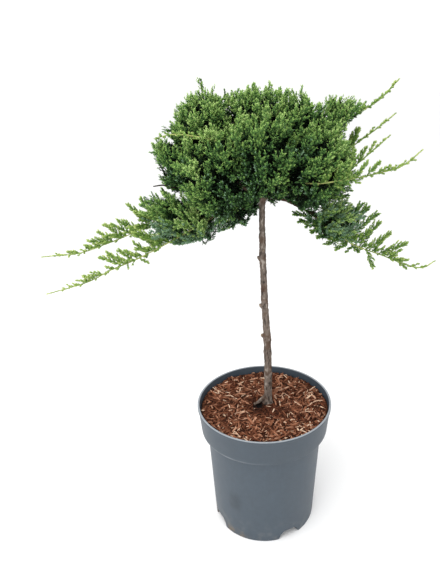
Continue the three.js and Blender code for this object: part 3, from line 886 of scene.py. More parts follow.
def plastic_material(colour):
    """Moulded grey-blue plastic: mottled a little, with a slightly darker collar band, paler along the rim
    and, on the left, the collar edge, partly rubbed and partly a painted highlight, with a painted shadow
    line under the collar, dulled by dust low down, with a faint scuff on the wall and soil at one side of the
    foot."""

    def shade(factor):
        return tuple(factor * c for c in colour)

    net = Net("pot_plastic")
    where = net.place()
    side, depth, height = (net.axis(where, i) for i in range(3))
    mottle = net.noise(where, 0.030, 4.0)
    grain = net.noise(where, 0.0012, 2.0)
    streaks = net.noise(net.place((1, 1, 0.12)), 0.006, 3.0)
    blotches = net.step(net.noise(where, 0.011, 5.0, 0.65), 0.35, 0.7)
    base = net.mix(mottle, shade(0.82), shade(1.16))
    base = net.mix(blotches * 0.3, base, shade(1.3))
    base = net.mix((streaks - 0.5).held() * 0.5, base, shade(1.5))

    rim_edge = net.step(height, (POT_HEIGHT - 0.9) * MM, (POT_HEIGHT - 0.2) * MM)
    collar_low = net.step(height, (BAND_FOOT - 0.5) * MM, (BAND_FOOT + 0.8) * MM)
    collar_edge = collar_low - net.step(height, (BAND_FOOT + 1.5) * MM, (BAND_FOOT + 4) * MM)
    base = net.mix(collar_low * 0.3, base, shade(0.7))
    left = 1 - net.step(side, -0.06, 0.02)
    # painted highlight: the pale rim edge and left collar edge are partly rubbed plastic and partly a painted
    # highlight
    wear_and_highlight = (rim_edge * 0.75 + collar_edge * left * net.noise(where, 0.02) * 0.45).held()
    base = net.mix(wear_and_highlight, base, linear(158, 164, 170))
    # painted shadow: a dark line just under the collar's foot, stronger on the left
    collar_shadow_line = net.band(height, BAND_FOOT - 4, BAND_FOOT - 1, BAND_FOOT - 0.6, BAND_FOOT + 1.2)
    base = net.mix((collar_shadow_line * (0.5 + left * 0.5)).held(), base, shade(0.4))

    front = 1 - net.step(depth, -0.05, -0.02)
    scuff = net.band(side, *SCUFF_X) * net.band(height, *SCUFF_Z) * front
    base = net.mix((scuff * net.noise(where, 0.012, 4.0)).held(), base, linear(36, 46, 54))
    soiled, low, dusty = (
        1 - net.step(value, start * MM, end * MM)
        for value, (start, end) in ((side, SOILED_X), (height, SOILED_Z), (height, DUSTY_Z))
    )
    soil = net.step(net.noise(where, 0.010, 4.0), 0.42, 0.62)
    base = net.mix((soiled * low * soil * 0.75).held(), base, linear(104, 88, 68))
    dust = dusty * net.step(net.noise(where, 0.018, 5.0), 0.45, 0.75)
    base = net.mix((dust * 0.3).held(), base, linear(138, 136, 130))

    roughness = 0.42 + mottle * 0.16 + wear_and_highlight * 0.1
    relief = net.bump(grain * 0.5 + mottle * 0.5, 0.12, 0.0006)
    return net.finish(Base_Color=base, Roughness=roughness, Normal=relief)


def mulch_material():
    """The dark crumbled bed under the shreds: brown lumps whose hollows are painted near black as shade, and
    painted near black as shade round the hollow beside the stem's foot.
    """
    net = Net("bark_mulch_bed")
    where = net.place()
    lumps = net.noise(where, 0.006, 5.0, 0.65)
    stops = (
        (0.25, linear(24, 9, 4)),
        (0.5, linear(64, 34, 20)),
        (0.75, linear(108, 68, 46)),
    )
    # painted shade: the lumps' noise is also their relief, so the darkest brown lies in their hollows
    base = net.ramp(lumps, stops)
    # painted shade: near black round the hollow beside the stem's foot
    off_x = net.axis(where, 0) - HOLLOW_MIDDLE[0] * MM
    off_y = net.axis(where, 1) - HOLLOW_MIDDLE[1] * MM
    away = (off_x * off_x + off_y * off_y) ** 0.5
    base = net.mix(1 - net.step(away, 0.007, 0.017), base, linear(10, 6, 4))
    relief = net.bump(lumps, 0.9, 0.003)
    return net.finish(Base_Color=base, Roughness=0.95, Specular_IOR_Level=WOOD_GLOSS, Normal=relief)


def shred_material():
    """Bark shreds: a shred's own tone picks a colour from dark to pale wood, with fibres along its length."""
    net = Net("bark_mulch_shreds")
    tone = net.add("ShaderNodeAttribute", {"attribute_name": "tone"}, {}, "Fac")
    grain = net.add("ShaderNodeUVMap", {"uv_map": "grain"}, {})
    along = net.add("ShaderNodeMapping", {}, {"Vector": grain, "Scale": (60, 900, 1)})
    fibres = net.add("ShaderNodeTexNoise", {}, {"Vector": along, "Scale": 1.0, "Detail": 3.0}, "Fac")
    stops = (
        (0.0, linear(30, 11, 4)),
        (0.3, linear(88, 46, 27)),
        (0.6, linear(136, 86, 60)),
        (0.82, linear(182, 132, 104)),
        (1.0, linear(226, 196, 168)),
    )
    base = net.ramp((tone + (fibres - 0.5) * 0.35).held(), stops)
    relief = net.bump(fibres, 0.6, 0.0006)
    return net.finish(Base_Color=base, Roughness=0.88, Specular_IOR_Level=WOOD_GLOSS, Normal=relief)


def bark_material(colour, name="bark", warm=0.0):
    """Flaky juniper bark: grey plates over brown, darker in the cracks, with fine vertical fibres."""
    net = Net(name)
    long_way = net.place((1, 1, 0.35))
    flakes = net.noise(long_way, 0.0045, 5.0, 0.6)
    fibres = net.noise(net.place((1, 1, 0.12)), 0.0009, 3.0)
    patches = net.noise(net.place(), 0.016, 2.0)
    dark = tuple(0.22 * c for c in colour)
    pale = linear(176, 166, 156)
    base = net.mix(net.step(flakes, 0.36, 0.5), dark, colour)
    base = net.mix(net.step(flakes, 0.54, 0.66) * 0.85, base, pale)
    base = net.mix(net.step(patches, 0.48 - warm, 0.62) * 0.7, base, linear(84, 62, 48))
    base = net.mix((fibres * 0.35).held(), base, dark)
    relief = net.bump(flakes * 0.7 + fibres * 0.3, 0.6, 0.001)
    roughness = 0.8 + fibres * 0.15
    return net.finish(Base_Color=base, Roughness=roughness, Specular_IOR_Level=WOOD_GLOSS, Normal=relief)


def cut_material():
    """The weathered cut face of a pruning stub: pale brown wood with a darker, cracked middle."""
    net = Net("cut_wood")
    rings = net.noise(net.place(), 0.0012, 3.0)
    base = net.mix(rings, linear(96, 80, 66), linear(160, 142, 120))
    return net.finish(Base_Color=base, Roughness=0.85, Normal=net.bump(rings, 0.4, 0.0005))


def plain(name, colour, roughness):
    """One plain colour, for needles and fine twigs."""
    net = Net(name)
    return net.finish(Base_Color=colour, Roughness=roughness, Specular_IOR_Level=NEEDLE_GLOSS)


def greens_of(prefix, shades, settings, group=""):
    """A plain material for each shade, in the colour that the settings give it."""
    return [
        plain(f"{prefix}_{shade}", tuple(getattr(settings, f"{group}{shade}_colour")), roughness)
        for shade, roughness in shades.items()
    ]


def floor_material(colour):
    """Pale studio floor with a barely uneven gloss."""
    net = Net("studio_floor")
    return net.finish(Base_Color=colour, Roughness=0.7 + net.noise(net.place(), 0.4) * 0.1)


# Pot


def rounded(profile, size):
    """Each inner corner of a profile is replaced by an arc of five points: the quadratic curve between the
    two points that lie size along its sides, with the corner as control."""
    profile = np.array(profile, float)
    t = np.linspace(0, 1, 5)[:, None]
    rows = [profile[:1]]
    for before, corner, after in zip(profile[:-2], profile[1:-1], profile[2:]):
        cut = min(size, 0.4 * np.linalg.norm(before - corner), 0.4 * np.linalg.norm(after - corner))
        start = corner + unit(before - corner) * cut
        end = corner + unit(after - corner) * cut
        rows.append((1 - t) ** 2 * start + 2 * t * (1 - t) * corner + t**2 * end)
    rows.append(profile[-1:])
    return np.vstack(rows)


def split_long(profile, longest):
    """A profile with its long runs cut into steps no longer than longest."""
    rows = [profile[:1]]
    for start, end in zip(profile[:-1], profile[1:]):
        steps = max(1, math.ceil(np.linalg.norm(end - start) / longest))
        rows.append(start + (end - start) * (np.arange(1, steps + 1) / steps)[:, None])
    return np.vstack(rows)


def arch_rise(turn):
    """How far an arch lifts the foot at a turn: a trapezium over the way to the nearest arch's middle."""
    between_arches = 2 * math.pi / ARCH_COUNT
    off = (turn - math.radians(ARCH_FIRST_TURN) + between_arches / 2) % between_arches - between_arches / 2
    away = np.abs(off) * (BASE_RADIUS - FOOT_WIDTH / 2)
    half = ARCH_WIDTH / 2
    stations = [0, half - ARCH_ROUND, half - 0.4 * ARCH_ROUND, half]
    return np.interp(away, stations, [ARCH_HEIGHT, ARCH_HEIGHT, 0.6 * ARCH_HEIGHT, 0])


def revolved(profile, sides, closed_start=False, closed_end=False):
    """A profile of radius and height turned about Z: x is the radius times the sine of the turn, y minus its
    cosine. A closed end is a fan to one point on the axis."""
    turn = np.arange(sides) * 2 * math.pi / sides
    radius, height = profile[:, 0][:, None], profile[:, 1][:, None]
    x, y = radius * np.sin(turn), -radius * np.cos(turn)
    corners = np.stack([x, y, np.broadcast_to(height, x.shape)], axis=-1)
    quads, _ = tube_faces(len(profile), sides)
    side = np.arange(sides)
    after = (side + 1) % sides
    points, triangles = [corners.reshape(-1, 3)], [NO_TRIANGLES]
    last = (len(profile) - 1) * sides
    middle = len(profile) * sides
    if closed_start:
        points.append(np.array([[0, 0, profile[0, 1]]]))
        triangles.append(np.stack([np.full(sides, middle), after, side], axis=-1))
        middle += 1
    if closed_end:
        points.append(np.array([[0, 0, profile[-1, 1]]]))
        triangles.append(np.stack([np.full(sides, middle), last + side, last + after], axis=-1))
    return np.vstack(points), quads, np.vstack(triangles)


def drain_grid(level):
    """A sixth of the raised floor round its drain at one level, as rings: from the outline of the sector, in
    radius and turn, to the circle of the drain, blended evenly between the two."""
    columns = POT_SIDES // DRAIN_COUNT
    sector = 2 * math.pi / DRAIN_COUNT
    down = np.linspace(FLOOR_OUTER, FLOOR_INNER, DRAIN_SIDE_ROWS + 1)
    turns = np.linspace(0, sector, columns + 1)
    outline = np.vstack([
        np.stack([np.full(columns, FLOOR_OUTER), turns[:-1]], axis=1),
        np.stack([down[:-1], np.full(DRAIN_SIDE_ROWS, sector)], axis=1),
        np.stack([np.full(columns, FLOOR_INNER), turns[::-1][:-1]], axis=1),
        np.stack([down[::-1][:-1], np.zeros(DRAIN_SIDE_ROWS)], axis=1),
    ])
    radius, turn = outline.T
    edge = np.stack([radius * np.sin(turn), -radius * np.cos(turn)], axis=1)
    out = (PAD_RADIUS + BASE_RADIUS - FOOT_WIDTH) / 2
    middle = out * np.array((math.sin(sector / 2), -math.cos(sector / 2)))
    circle = middle + DRAIN_RADIUS * unit(edge - middle)
    share = np.linspace(0, 1, DRAIN_RINGS)[:, None, None]
    flat = edge * (1 - share) + circle * share
    return np.concatenate([flat, np.full((*flat.shape[:2], 1), level)], axis=-1)


def round_drains(rings, quads):
    """The same faces at each drain: copy i is turned about Z by i times the angle between two drains."""
    copies = []
    for i in range(DRAIN_COUNT):
        angle = i * 2 * math.pi / DRAIN_COUNT
        c, s = math.cos(angle), math.sin(angle)
        turned = rings.reshape(-1, 3) @ np.array([[c, s, 0], [-s, c, 0], [0, 0, 1]])
        copies.append((turned, quads, NO_TRIANGLES))
    return copies


def make_pot(settings):
    """The pot: its foot, wall, collar, rim and inside turned about Z from one rounded profile, its foot
    lifted by the arches, a pad in the middle, and two levels of floor with the drains' walls between
    them."""
    floor_top = FLOOR_HEIGHT + WALL
    outline = [
        (FLOOR_OUTER, FLOOR_HEIGHT),
        (BASE_RADIUS - FOOT_WIDTH, 0),
        (BASE_RADIUS, 0),
        (BODY_TOP_RADIUS, BAND_FOOT - COLLAR_STEP),
        (BAND_FOOT_RADIUS, BAND_FOOT),
        (RIM_RADIUS - LIP_WIDTH, POT_HEIGHT - LIP_FOOT),
        (RIM_RADIUS, POT_HEIGHT - LIP_HEIGHT),
        (RIM_RADIUS, POT_HEIGHT),
        (RIM_RADIUS - RIM_WIDTH, POT_HEIGHT),
        (BAND_FOOT_RADIUS - WALL, BAND_FOOT + COLLAR_STEP),
        (BODY_TOP_RADIUS - WALL, BAND_FOOT),
        (BASE_RADIUS - WALL, floor_top),
        (FLOOR_OUTER, floor_top),
    ]
    profile = split_long(rounded(outline, EDGE_ROUND), POT_STEP)
    shell = revolved(profile, POT_SIDES)
    corners = shell[0]
    rise = arch_rise(np.arctan2(corners[:, 0], -corners[:, 1]))
    outside = np.repeat(np.arange(len(profile)), POT_SIDES) < np.argmax(profile[:, 1])
    lifted = outside & (corners[:, 2] < rise)
    corners[lifted, 2] = rise[lifted]

    pad = rounded([(PAD_MIDDLE, 0), (PAD_RADIUS, 0), (FLOOR_INNER, FLOOR_HEIGHT)], EDGE_ROUND)
    pad = revolved(split_long(pad, POT_STEP), POT_SIDES, closed_start=True)
    cap = revolved(np.array([(FLOOR_INNER, floor_top), (PAD_RADIUS, floor_top)]), POT_SIDES, closed_end=True)
    below, above = drain_grid(FLOOR_HEIGHT), drain_grid(floor_top)
    floor_quads, _ = tube_faces(DRAIN_RINGS, below.shape[1])
    wall_quads, _ = tube_faces(2, below.shape[1])
    shape = joined([
        shell,
        pad,
        cap,
        *round_drains(below, floor_quads),
        *round_drains(above, floor_quads[:, ::-1]),
        *round_drains(np.stack([above[-1], below[-1]]), wall_quads[:, ::-1]),
    ])
    piece = new_piece("nursery_pot", shape, [plastic_material(tuple(settings.colour))])
    weld(piece)
    piece.data.set_sharp_from_angle(angle=math.radians(POT_SHARP))
    dress(piece, "pot_plastic", "pot")


def weld(piece):
    """Merges points that share a place and turns all faces outwards."""
    work = bmesh.new()
    work.from_mesh(piece.data)
    bmesh.ops.remove_doubles(work, verts=work.verts, dist=MERGED * MM)
    bmesh.ops.recalc_face_normals(work, faces=work.faces)
    work.to_mesh(piece.data)
    work.free()


# Soil and mulch


def mulch_height(x, y):
    """The source's mound: a low cone with slow waves, banked near the wall, dipped beside the stem and level
    under it."""
    out = np.hypot(x, y) / RIM_RADIUS
    waves = np.sin(x * 0.13 + 1) * np.cos(y * 0.11) + np.sin((x + y) * 0.07)
    dip = np.exp(-((x - DIP_MIDDLE[0]) ** 2 + (y - DIP_MIDDLE[1]) ** 2) / DIP_SPREAD)
    bank = MULCH_BANK * np.clip((out - 0.7) / 0.22, 0, 1)
    height = MULCH_LEVEL + MOUND_RISE * (1 - out) + MOUND_WAVES * waves - DIP_DEPTH * dip + bank
    seat = np.hypot(x - SEAT_MIDDLE[0], y - SEAT_MIDDLE[1])
    level = np.minimum(height, SEAT_LEVEL)
    share = np.clip((seat - SEAT_RADIUS + SEAT_SLOPE) / (2 * SEAT_SLOPE), 0, 1)
    return level + (height - level) * share


def make_bed():
    """The bed: its top is a disc of rings at the mound's height with crumbs of noise on it, and its side and
    underside follow the pot's inside."""
    room = WALL + BED_ROOM
    wall = np.array([
        (BASE_RADIUS - room, FLOOR_HEIGHT + WALL + GAP),
        (BODY_TOP_RADIUS - room, BAND_FOOT + 0.4),
        (BAND_FOOT_RADIUS - room, BAND_FOOT + 2.6),
        (MULCH_EDGE, MULCH_LEVEL - 1.5),
    ])
    rings = np.linspace(1, 0, MULCH_RINGS + 1)[:-1] * MULCH_EDGE
    profile = np.vstack([wall, np.stack([rings, np.full(len(rings), MULCH_LEVEL)], axis=1)])
    corners, quads, threes = revolved(profile, MULCH_SIDES, closed_start=True, closed_end=True)
    top = corners[:, 2] > MULCH_LEVEL - 1
    x, y = corners[top, 0], corners[top, 1]
    flat = np.stack([x, y, np.zeros_like(x)], axis=1)
    crumbs = sum(smooth_noise(flat, size, seed) * height for size, seed, height in CRUMBS)
    corners[top, 2] = mulch_height(x, y) - BED_SINK + crumbs
    bed = new_piece("mulch_bed", (corners, quads, threes), [mulch_material()])
    dress(bed, "bark_mulch", "soil_and_mulch")


def make_shreds(settings):
    """Slivers of bark thrown on the bed, lying along its slope. Each is four rings of four corners round a
    slightly bent line, narrower at its ends and on top. They are painted darker as shade in the hollow and at
    one more place, and a few are pale."""
    random = np.random.default_rng(SHRED_SEED)
    count = settings.shreds
    radius = (MULCH_EDGE - SHRED_EDGE) * np.sqrt(random.random(count))
    turn = random.random(count) * 2 * math.pi
    x, y = radius * np.cos(turn), radius * np.sin(turn)
    length = settings.shred_length / MM * (0.35 + 0.9 * random.random(count) ** 1.8)
    width = (0.9 + 2.6 * random.random(count) ** 1.6) * (0.6 + 0.4 * length / 14)
    thick = 0.5 + 0.9 * random.random(count)
    length = np.minimum(length, np.maximum(4.0, 1.6 * (MULCH_EDGE - np.hypot(x, y))))
    from_stem = np.hypot(x - STEM[0, 0], y - STEM[0, 1])
    from_hollow = np.hypot(x - HOLLOW_MIDDLE[0], y - HOLLOW_MIDDLE[1])
    keep = (from_stem > STEM_ROOM) & ((from_hollow > HOLLOW_ROOM) | (random.random(count) < 0.2))
    x, y, length, width, thick = (values[keep] for values in (x, y, length, width, thick))
    count = len(x)

    layer = random.random(count)
    middle = np.stack([x, y, mulch_height(x, y) + SHRED_LAYER * layer - 0.6], axis=1)
    step = 0.5
    slope_x = (mulch_height(x + step, y) - mulch_height(x - step, y)) / (2 * step)
    slope_y = (mulch_height(x, y + step) - mulch_height(x, y - step)) / (2 * step)
    spin = random.random(count) * 2 * math.pi
    climb = slope_x * np.cos(spin) + slope_y * np.sin(spin) + random.normal(0, 0.20, count)
    along = unit(np.stack([np.cos(spin), np.sin(spin), climb], axis=1))
    roll = random.normal(0, 0.35, count)[:, None]
    side = unit(np.cross(UP, along))
    up = np.cross(along, side)
    side, up = side * np.cos(roll) + up * np.sin(roll), up * np.cos(roll) - side * np.sin(roll)

    ends = 0.25 + 0.6 * random.random((count, 2))
    bend = random.normal(0, 0.06, count)
    stations = np.array((-0.5, -0.1, 0.25, 0.5))
    spread = np.stack([ends[:, 0], np.ones(count), 0.75 + 0.3 * random.random(count), ends[:, 1]], axis=1)
    lift = bend[:, None] * length[:, None] * (1 - 4 * stations**2)
    run = along[:, None] * (stations[:, None] * length[:, None, None])
    spine = middle[:, None] + run + up[:, None] * lift[..., None]
    half = side[:, None] * (spread * width[:, None] / 2)[..., None]
    tall = up[:, None] * (thick[:, None] / 2 * (0.4 + 0.6 * spread))[..., None]
    ring = [spine - half - tall, spine + half - tall, spine + half * 0.8 + tall, spine - half * 0.8 + tall]
    quads, caps = tube_faces(4, 4, count)

    shade = np.exp(-((x - HOLLOW_MIDDLE[0]) ** 2 + (y - HOLLOW_MIDDLE[1]) ** 2) / HOLLOW_SPREAD)
    shaded_x, shaded_y, reach_x, reach_y = SHADED_PLACE
    shade += 0.5 * np.exp(-(((x - shaded_x) / reach_x) ** 2 + ((y - shaded_y) / reach_y) ** 2))
    tone = np.clip(random.beta(1.8, 2.2, count) + 0.12 * (layer - 0.5), 0, 1) * (1 - np.minimum(shade, 1))
    tone[random.random(count) < PALE_SHREDS] = PALE_TONE
    station = np.repeat(np.tile(stations, count), 4) * np.repeat(length, 16)
    round_place = np.tile((0, 1, 1.4, 0.4), count * 4) * np.repeat(width, 16)
    grain = np.stack([station, round_place], axis=1)
    grain += np.repeat(random.random((count, 2)) * 400, 16, axis=0)
    shreds = new_piece(
        "mulch_shreds",
        (np.stack(ring, axis=2).reshape(-1, 3), quads, caps),
        [shred_material()],
        sharp=SHRED_SHARP,
        uv=grain[np.concatenate([quads.ravel(), caps.ravel()])] * MM,
        tone=np.repeat(tone, 16),
    )
    dress(shreds, "bark_mulch")


# Stem and boughs


def barked(centres, radii, sides, depth, seed):
    """A limb with bark relief: rings round the centres, each corner pushed out by its plate's own height,
    sunk in the cracks between plates, and roughened by noise, all stretched upwards. Gives its corners,
    where they were before the relief, and its faces."""
    ways = unit(np.gradient(centres, axis=0))
    first, second = frames_of(ways, across_of(unit(centres[-1] - centres[0])[None])[0])
    turn = np.arange(sides) * 2 * math.pi / sides
    ring = np.cos(turn)[:, None] * first[:, None] + np.sin(turn)[:, None] * second[:, None]
    surface = centres[:, None] + radii[:, None, None] * ring
    squeezed = surface * np.array((1.0, 1.0, BARK_STRETCH))
    owner, crack = plates(squeezed, BARK_PLATE, seed)
    relief = (owner - 0.5) * 0.9 + np.minimum(crack * 3.0, 1.0) * 0.9 - 0.9
    relief += smooth_noise(squeezed, 1.6, seed + 20) * 0.25 + smooth_noise(surface, 11.0, seed + 30) * 0.9
    return surface + ring * (relief * depth)[..., None], surface, tube_faces(len(centres), sides)


def make_stem(settings):
    """The stem: level rings from the mulch to the graft at the source's places and radii, smoothed along
    the height, swelling into the graft's knuckle, with surface roots and pruning stubs. A stub is a bump
    along its own way, by 1 / (1 + e^d), with d from the distance past its edge."""
    top = HEAD[2] + HEAD_RADIUS
    heights = np.append(np.arange(STEM[0, 2], top, STEM_STEP), top - 0.05)
    x, y, radius = (np.interp(heights, STEM[:, 2], STEM[:, i]) for i in (0, 1, 3))
    kernel = np.hanning(13) / np.hanning(13).sum()
    x, y = (np.convolve(np.pad(row, 6, mode="edge"), kernel, mode="valid") for row in (x, y))
    ball = np.sqrt(np.maximum(HEAD_RADIUS**2 - (heights - HEAD[2]) ** 2, 0.02))
    in_head = np.where(heights > HEAD[2] - HEAD_RADIUS, ball, 0)
    radius = np.where(heights > HEAD[2], ball, np.maximum(radius, in_head))
    radius += BARK_SWELL + FOOT_SWELL * np.exp(-(((heights - STEM[0, 2]) / 5.0) ** 2))
    centres = np.stack([x, y, heights], axis=1)
    depth = settings.relief / MM
    pushed, surface, (quads, caps) = barked(centres, radius, STEM_SIDES, depth, STEM_SEED)
    cut = np.zeros(len(quads), bool)
    for height, turn, size in STUBS:
        row = np.argmin(np.abs(heights - height))
        where = centres[row] + heading(turn) * radius[row] + 0.6 * size * UP
        away = np.linalg.norm(surface - where, axis=-1)
        rise = 1 / (1 + np.exp((away - 0.8 * size) / STUB_EDGE))
        pushed += heading(turn, STUB_TILT) * (1.15 * size) * rise[..., None]
        cut |= away.ravel()[: len(quads)] < 0.55 * size

    parts = [(pushed.reshape(-1, 3), quads, caps)]
    foot = STEM[0, :3]
    root_radii = np.linspace(ROOT_RADIUS, ROOT_TIP_RADIUS, ROOT_ROWS)
    for i, (turn, reach) in enumerate(FLARE_ROOTS):
        out = heading(turn) * reach
        knee = foot + 0.45 * (out + ROOT_HEIGHT * UP)
        path, _ = spline([foot + ROOT_HEIGHT * UP, knee, foot + out - UP], ROOT_ROWS)
        root, _, faces = barked(path, root_radii, ROOT_SIDES, depth, ROOT_SEED + i)
        parts.append((root.reshape(-1, 3), *faces))
    shape = joined(parts)
    slots = np.zeros(len(shape[1]) + len(shape[2]), int)
    slots[: len(quads)] = cut
    materials = [bark_material(tuple(settings.colour)), cut_material()]
    dress(new_piece("stem_bark", shape, materials, slots), "bark", "stem")


def bough_path(name, count=40):
    """A bough's places and ways, from the head or from beside the tip of its parent, into its mass."""
    middle, _, _, _, parent = MASSES[name]
    out = np.array(middle) - HEAD
    if parent:
        start = fork_start(parent, np.array(middle, float), BOUGH_FOOT_RADIUS)
    else:
        start = HEAD + unit(out) * (HEAD_RADIUS + GAP)
    end = HEAD + out * (FORK_REACH if parent else BOUGH_REACH)
    bend = (start + end) / 2 + np.array((0, 0, -BOUGH_SAG if out[2] > 0 else BOUGH_SAG))
    return spline([start, bend, end], count)


def fork_start(name, towards, radius):
    """Where a limb of a given radius starts beside the tip of the bough that it forks from."""
    places, ways = bough_path(name)
    away = unit(towards - places[-1])
    turn = np.linalg.norm(np.cross(away, ways[-1]))
    return places[-1] + away * (GAP + 0.1 + (BOUGH_TIP_RADIUS + radius) * turn)


def whip_path(name, count=60):
    """A long shoot's places from beside its bough's tip through its own points."""
    bough, path = WHIPS[name][:2]
    start = fork_start(bough, np.array(path[0], float), WHIP_FOOT_RADIUS)
    places, ways = spline([start, *path], count)
    sag = WHIP_SAG.get(name, 0.0) * np.sin(math.pi * np.linspace(0, 1, count)) ** 2
    return places - sag[:, None] * UP, ways


def make_boughs(settings):
    """The boughs: tapering limbs with bark relief, each sunk back into the head or its parent's tip."""
    parts = []
    stations, widths = (0, 0.15, 1), (SOCKET_RADIUS, BOUGH_FOOT_RADIUS + 0.3, BOUGH_TIP_RADIUS)
    radii = np.interp(np.linspace(0, 1, BOUGH_ROWS + 1), stations, widths)
    for i, name in enumerate(MASSES):
        places, ways = bough_path(name, BOUGH_ROWS)
        places = np.vstack([places[0] - ways[0] * BOUGH_SOCKET, places])
        limb, _, faces = barked(places, radii, BOUGH_SIDES, 0.7 * settings.relief / MM, BOUGH_SEED + i)
        parts.append((limb.reshape(-1, 3), *faces))
    bark = bark_material(tuple(settings.bough_colour), "bough_bark", 0.1)
    piece = new_piece("boughs", joined(parts), [bark])
    dress(piece, "bark", *(f"bough_{name}" for name in MASSES))


# Needles


def walls_of(name):
    """The flat walls between a mass's own space and its neighbours': along the line between two middles,
    where the squared distances less the squares of the mean reaches are equal."""
    middle, reach = np.array(MASSES[name][0], float), np.mean(MASSES[name][1])
    others = [MASSES[other] for other in MASSES if other != name]
    away = np.array([other[0] for other in others]) - middle
    apart = np.linalg.norm(away, axis=1)
    held = reach**2 - np.array([np.mean(other[1]) for other in others]) ** 2
    return away / apart[:, None], (apart**2 + held) / (2 * apart) - GAP


def open_reach(name, ways):
    """How far the mass's ellipsoid is from its middle in each direction."""
    return 1 / np.linalg.norm(ways / np.array(MASSES[name][1], float), axis=-1)


def wall_reach(walls, ways):
    """How far the nearest wall is in each direction."""
    normals, distances = walls
    along = ways @ normals.T
    return np.where(along > 1e-6, distances / np.maximum(along, 1e-6), np.inf).min(axis=-1)


def twigs_of(name):
    """The ways and reaches of the source's twigs: ways spread by the golden turn, each nudged and lifted,
    kept where no wall is nearer than the open outline. Twigs that meet a wall soon after fill the valley
    beside it, and stop short of it."""
    _, _, seed, count, _ = MASSES[name]
    random = seeded(seed)
    walls = walls_of(name)
    ways, reaches = [], []
    for i in range(count):
        height = 1 - (2 * i + 1) / count
        flat = math.sqrt(1 - height * height)
        turn = i * GOLDEN_TURN + seed
        way = np.array((math.cos(turn) * flat, math.sin(turn) * flat, height))
        nudge = np.array((random() - 0.5, random() - 0.5, random() - 0.5))
        way = unit(way + 0.35 * nudge + 0.12 * UP)
        reach = open_reach(name, way) * (0.88 + 0.14 * random())
        wall = wall_reach(walls, way)
        if wall > 0.96 * reach:
            random()  # the source draws this twig's own turn here
        elif wall > CREVICE * reach:
            reach = 0.95 * wall
        else:
            continue
        ways.append(way)
        reaches.append(reach)
    return np.array(ways), np.array(reaches)


def bezier(start, control, end, shares):
    """Places and ways along quadratic curves, for arrays of curves by shares."""
    s = shares[..., None]
    start, control, end = (point[:, None] for point in (start, control, end))
    places = (1 - s) ** 2 * start + 2 * s * (1 - s) * control + s**2 * end
    ways = unit(2 * (1 - s) * (control - start) + 2 * s * (end - control))
    return places, ways


class Needles:
    """Needles gathered into one mesh, each with the number of its colour."""

    def __init__(self, length, width, colours, random):
        self.length = length
        self.width = width
        self.colours = colours
        self.random = random
        self.corners = []
        self.slots = []

    def grow(self, curves, count, tone, climb, first=0.0, size=1.0, spread=(0.85, 0.3), dusty=None, slim=0.0):
        """Needles round curves. The j-th stands at its share of the way, turned by the golden turn from the
        last, leaning out by an angle that closes towards the tip. Each is a three-sided spike with a foot:
        three corners round its root across its own way, and its point. Its colour is the curve's own tone
        plus climb times its share of the way. dusty gives each curve's chance of bluish needles, and slim
        how much shorter and closer to it its needles are."""
        start, control, end = curves
        random, shape = self.random, (len(start), count)
        slim = np.broadcast_to(slim, len(start))[:, None]
        step = (np.arange(count) + random.random(shape)) / count
        places, ways = bezier(start, control, end, first + (1 - first) * np.minimum(step * 1.03, 1.0))
        across, over = frames_of(ways, across_of(ways))
        turn = (np.arange(count) * GOLDEN_TURN + random.random((len(start), 1)) * 2 * math.pi)[..., None]
        lean = spread[0] + (spread[1] - spread[0]) * step**1.5 + random.normal(0, 0.08, shape)
        lean = (lean * (1 - 0.4 * slim))[..., None]
        out = np.cos(turn) * across + np.sin(turn) * over
        way = np.cos(lean) * ways + np.sin(lean) * out
        flat = unit(np.cross(way, out + 0.01))
        thick = np.cross(way, flat)
        size = size * (1 - 0.4 * slim)
        long = self.length * size * (1 - 0.35 * step**2) * (0.8 + 0.4 * random.random(shape))
        wide = (self.width / 2 * (1 + 0.5 * (size - 1)))[..., None, None]
        root = places + out * NEEDLE_OFF
        turn = (np.arange(3) * 2 * math.pi / 3)[:, None]
        feet = np.cos(turn) * flat[:, :, None] + NEEDLE_FLAT * np.sin(turn) * thick[:, :, None]
        feet = root[:, :, None] + wide * feet
        point = (root + way * long[..., None])[:, :, None]
        self.corners.append(np.concatenate([feet, point], axis=2).reshape(-1, 3))
        climb = np.broadcast_to(climb, len(start))[:, None]
        tones = np.asarray(tone)[..., None] + climb * step + random.normal(0, 0.35, (len(start), 1))
        slots = np.clip(np.floor(tones), 0, self.colours - 1).astype(int)
        if dusty is not None:
            bluish = random.random((len(start), 1)) < dusty[:, None]
            slots = np.where(bluish & (slots >= DUSTY_TONE), self.colours, slots)
        self.slots.append(slots.ravel())

    def piece(self, name, materials):
        """All the needles as one object: each has three sides and a foot."""
        corners = np.vstack(self.corners)
        faces = np.array([(0, 1, 3), (1, 2, 3), (2, 0, 3), (0, 2, 1)])
        triangles = (faces + (np.arange(len(corners) // 4) * 4)[:, None, None]).reshape(-1, 3)
        slots = np.repeat(np.concatenate(self.slots), 4)
        return new_piece(name, (corners, np.zeros((0, 4), int), triangles), materials, slots)


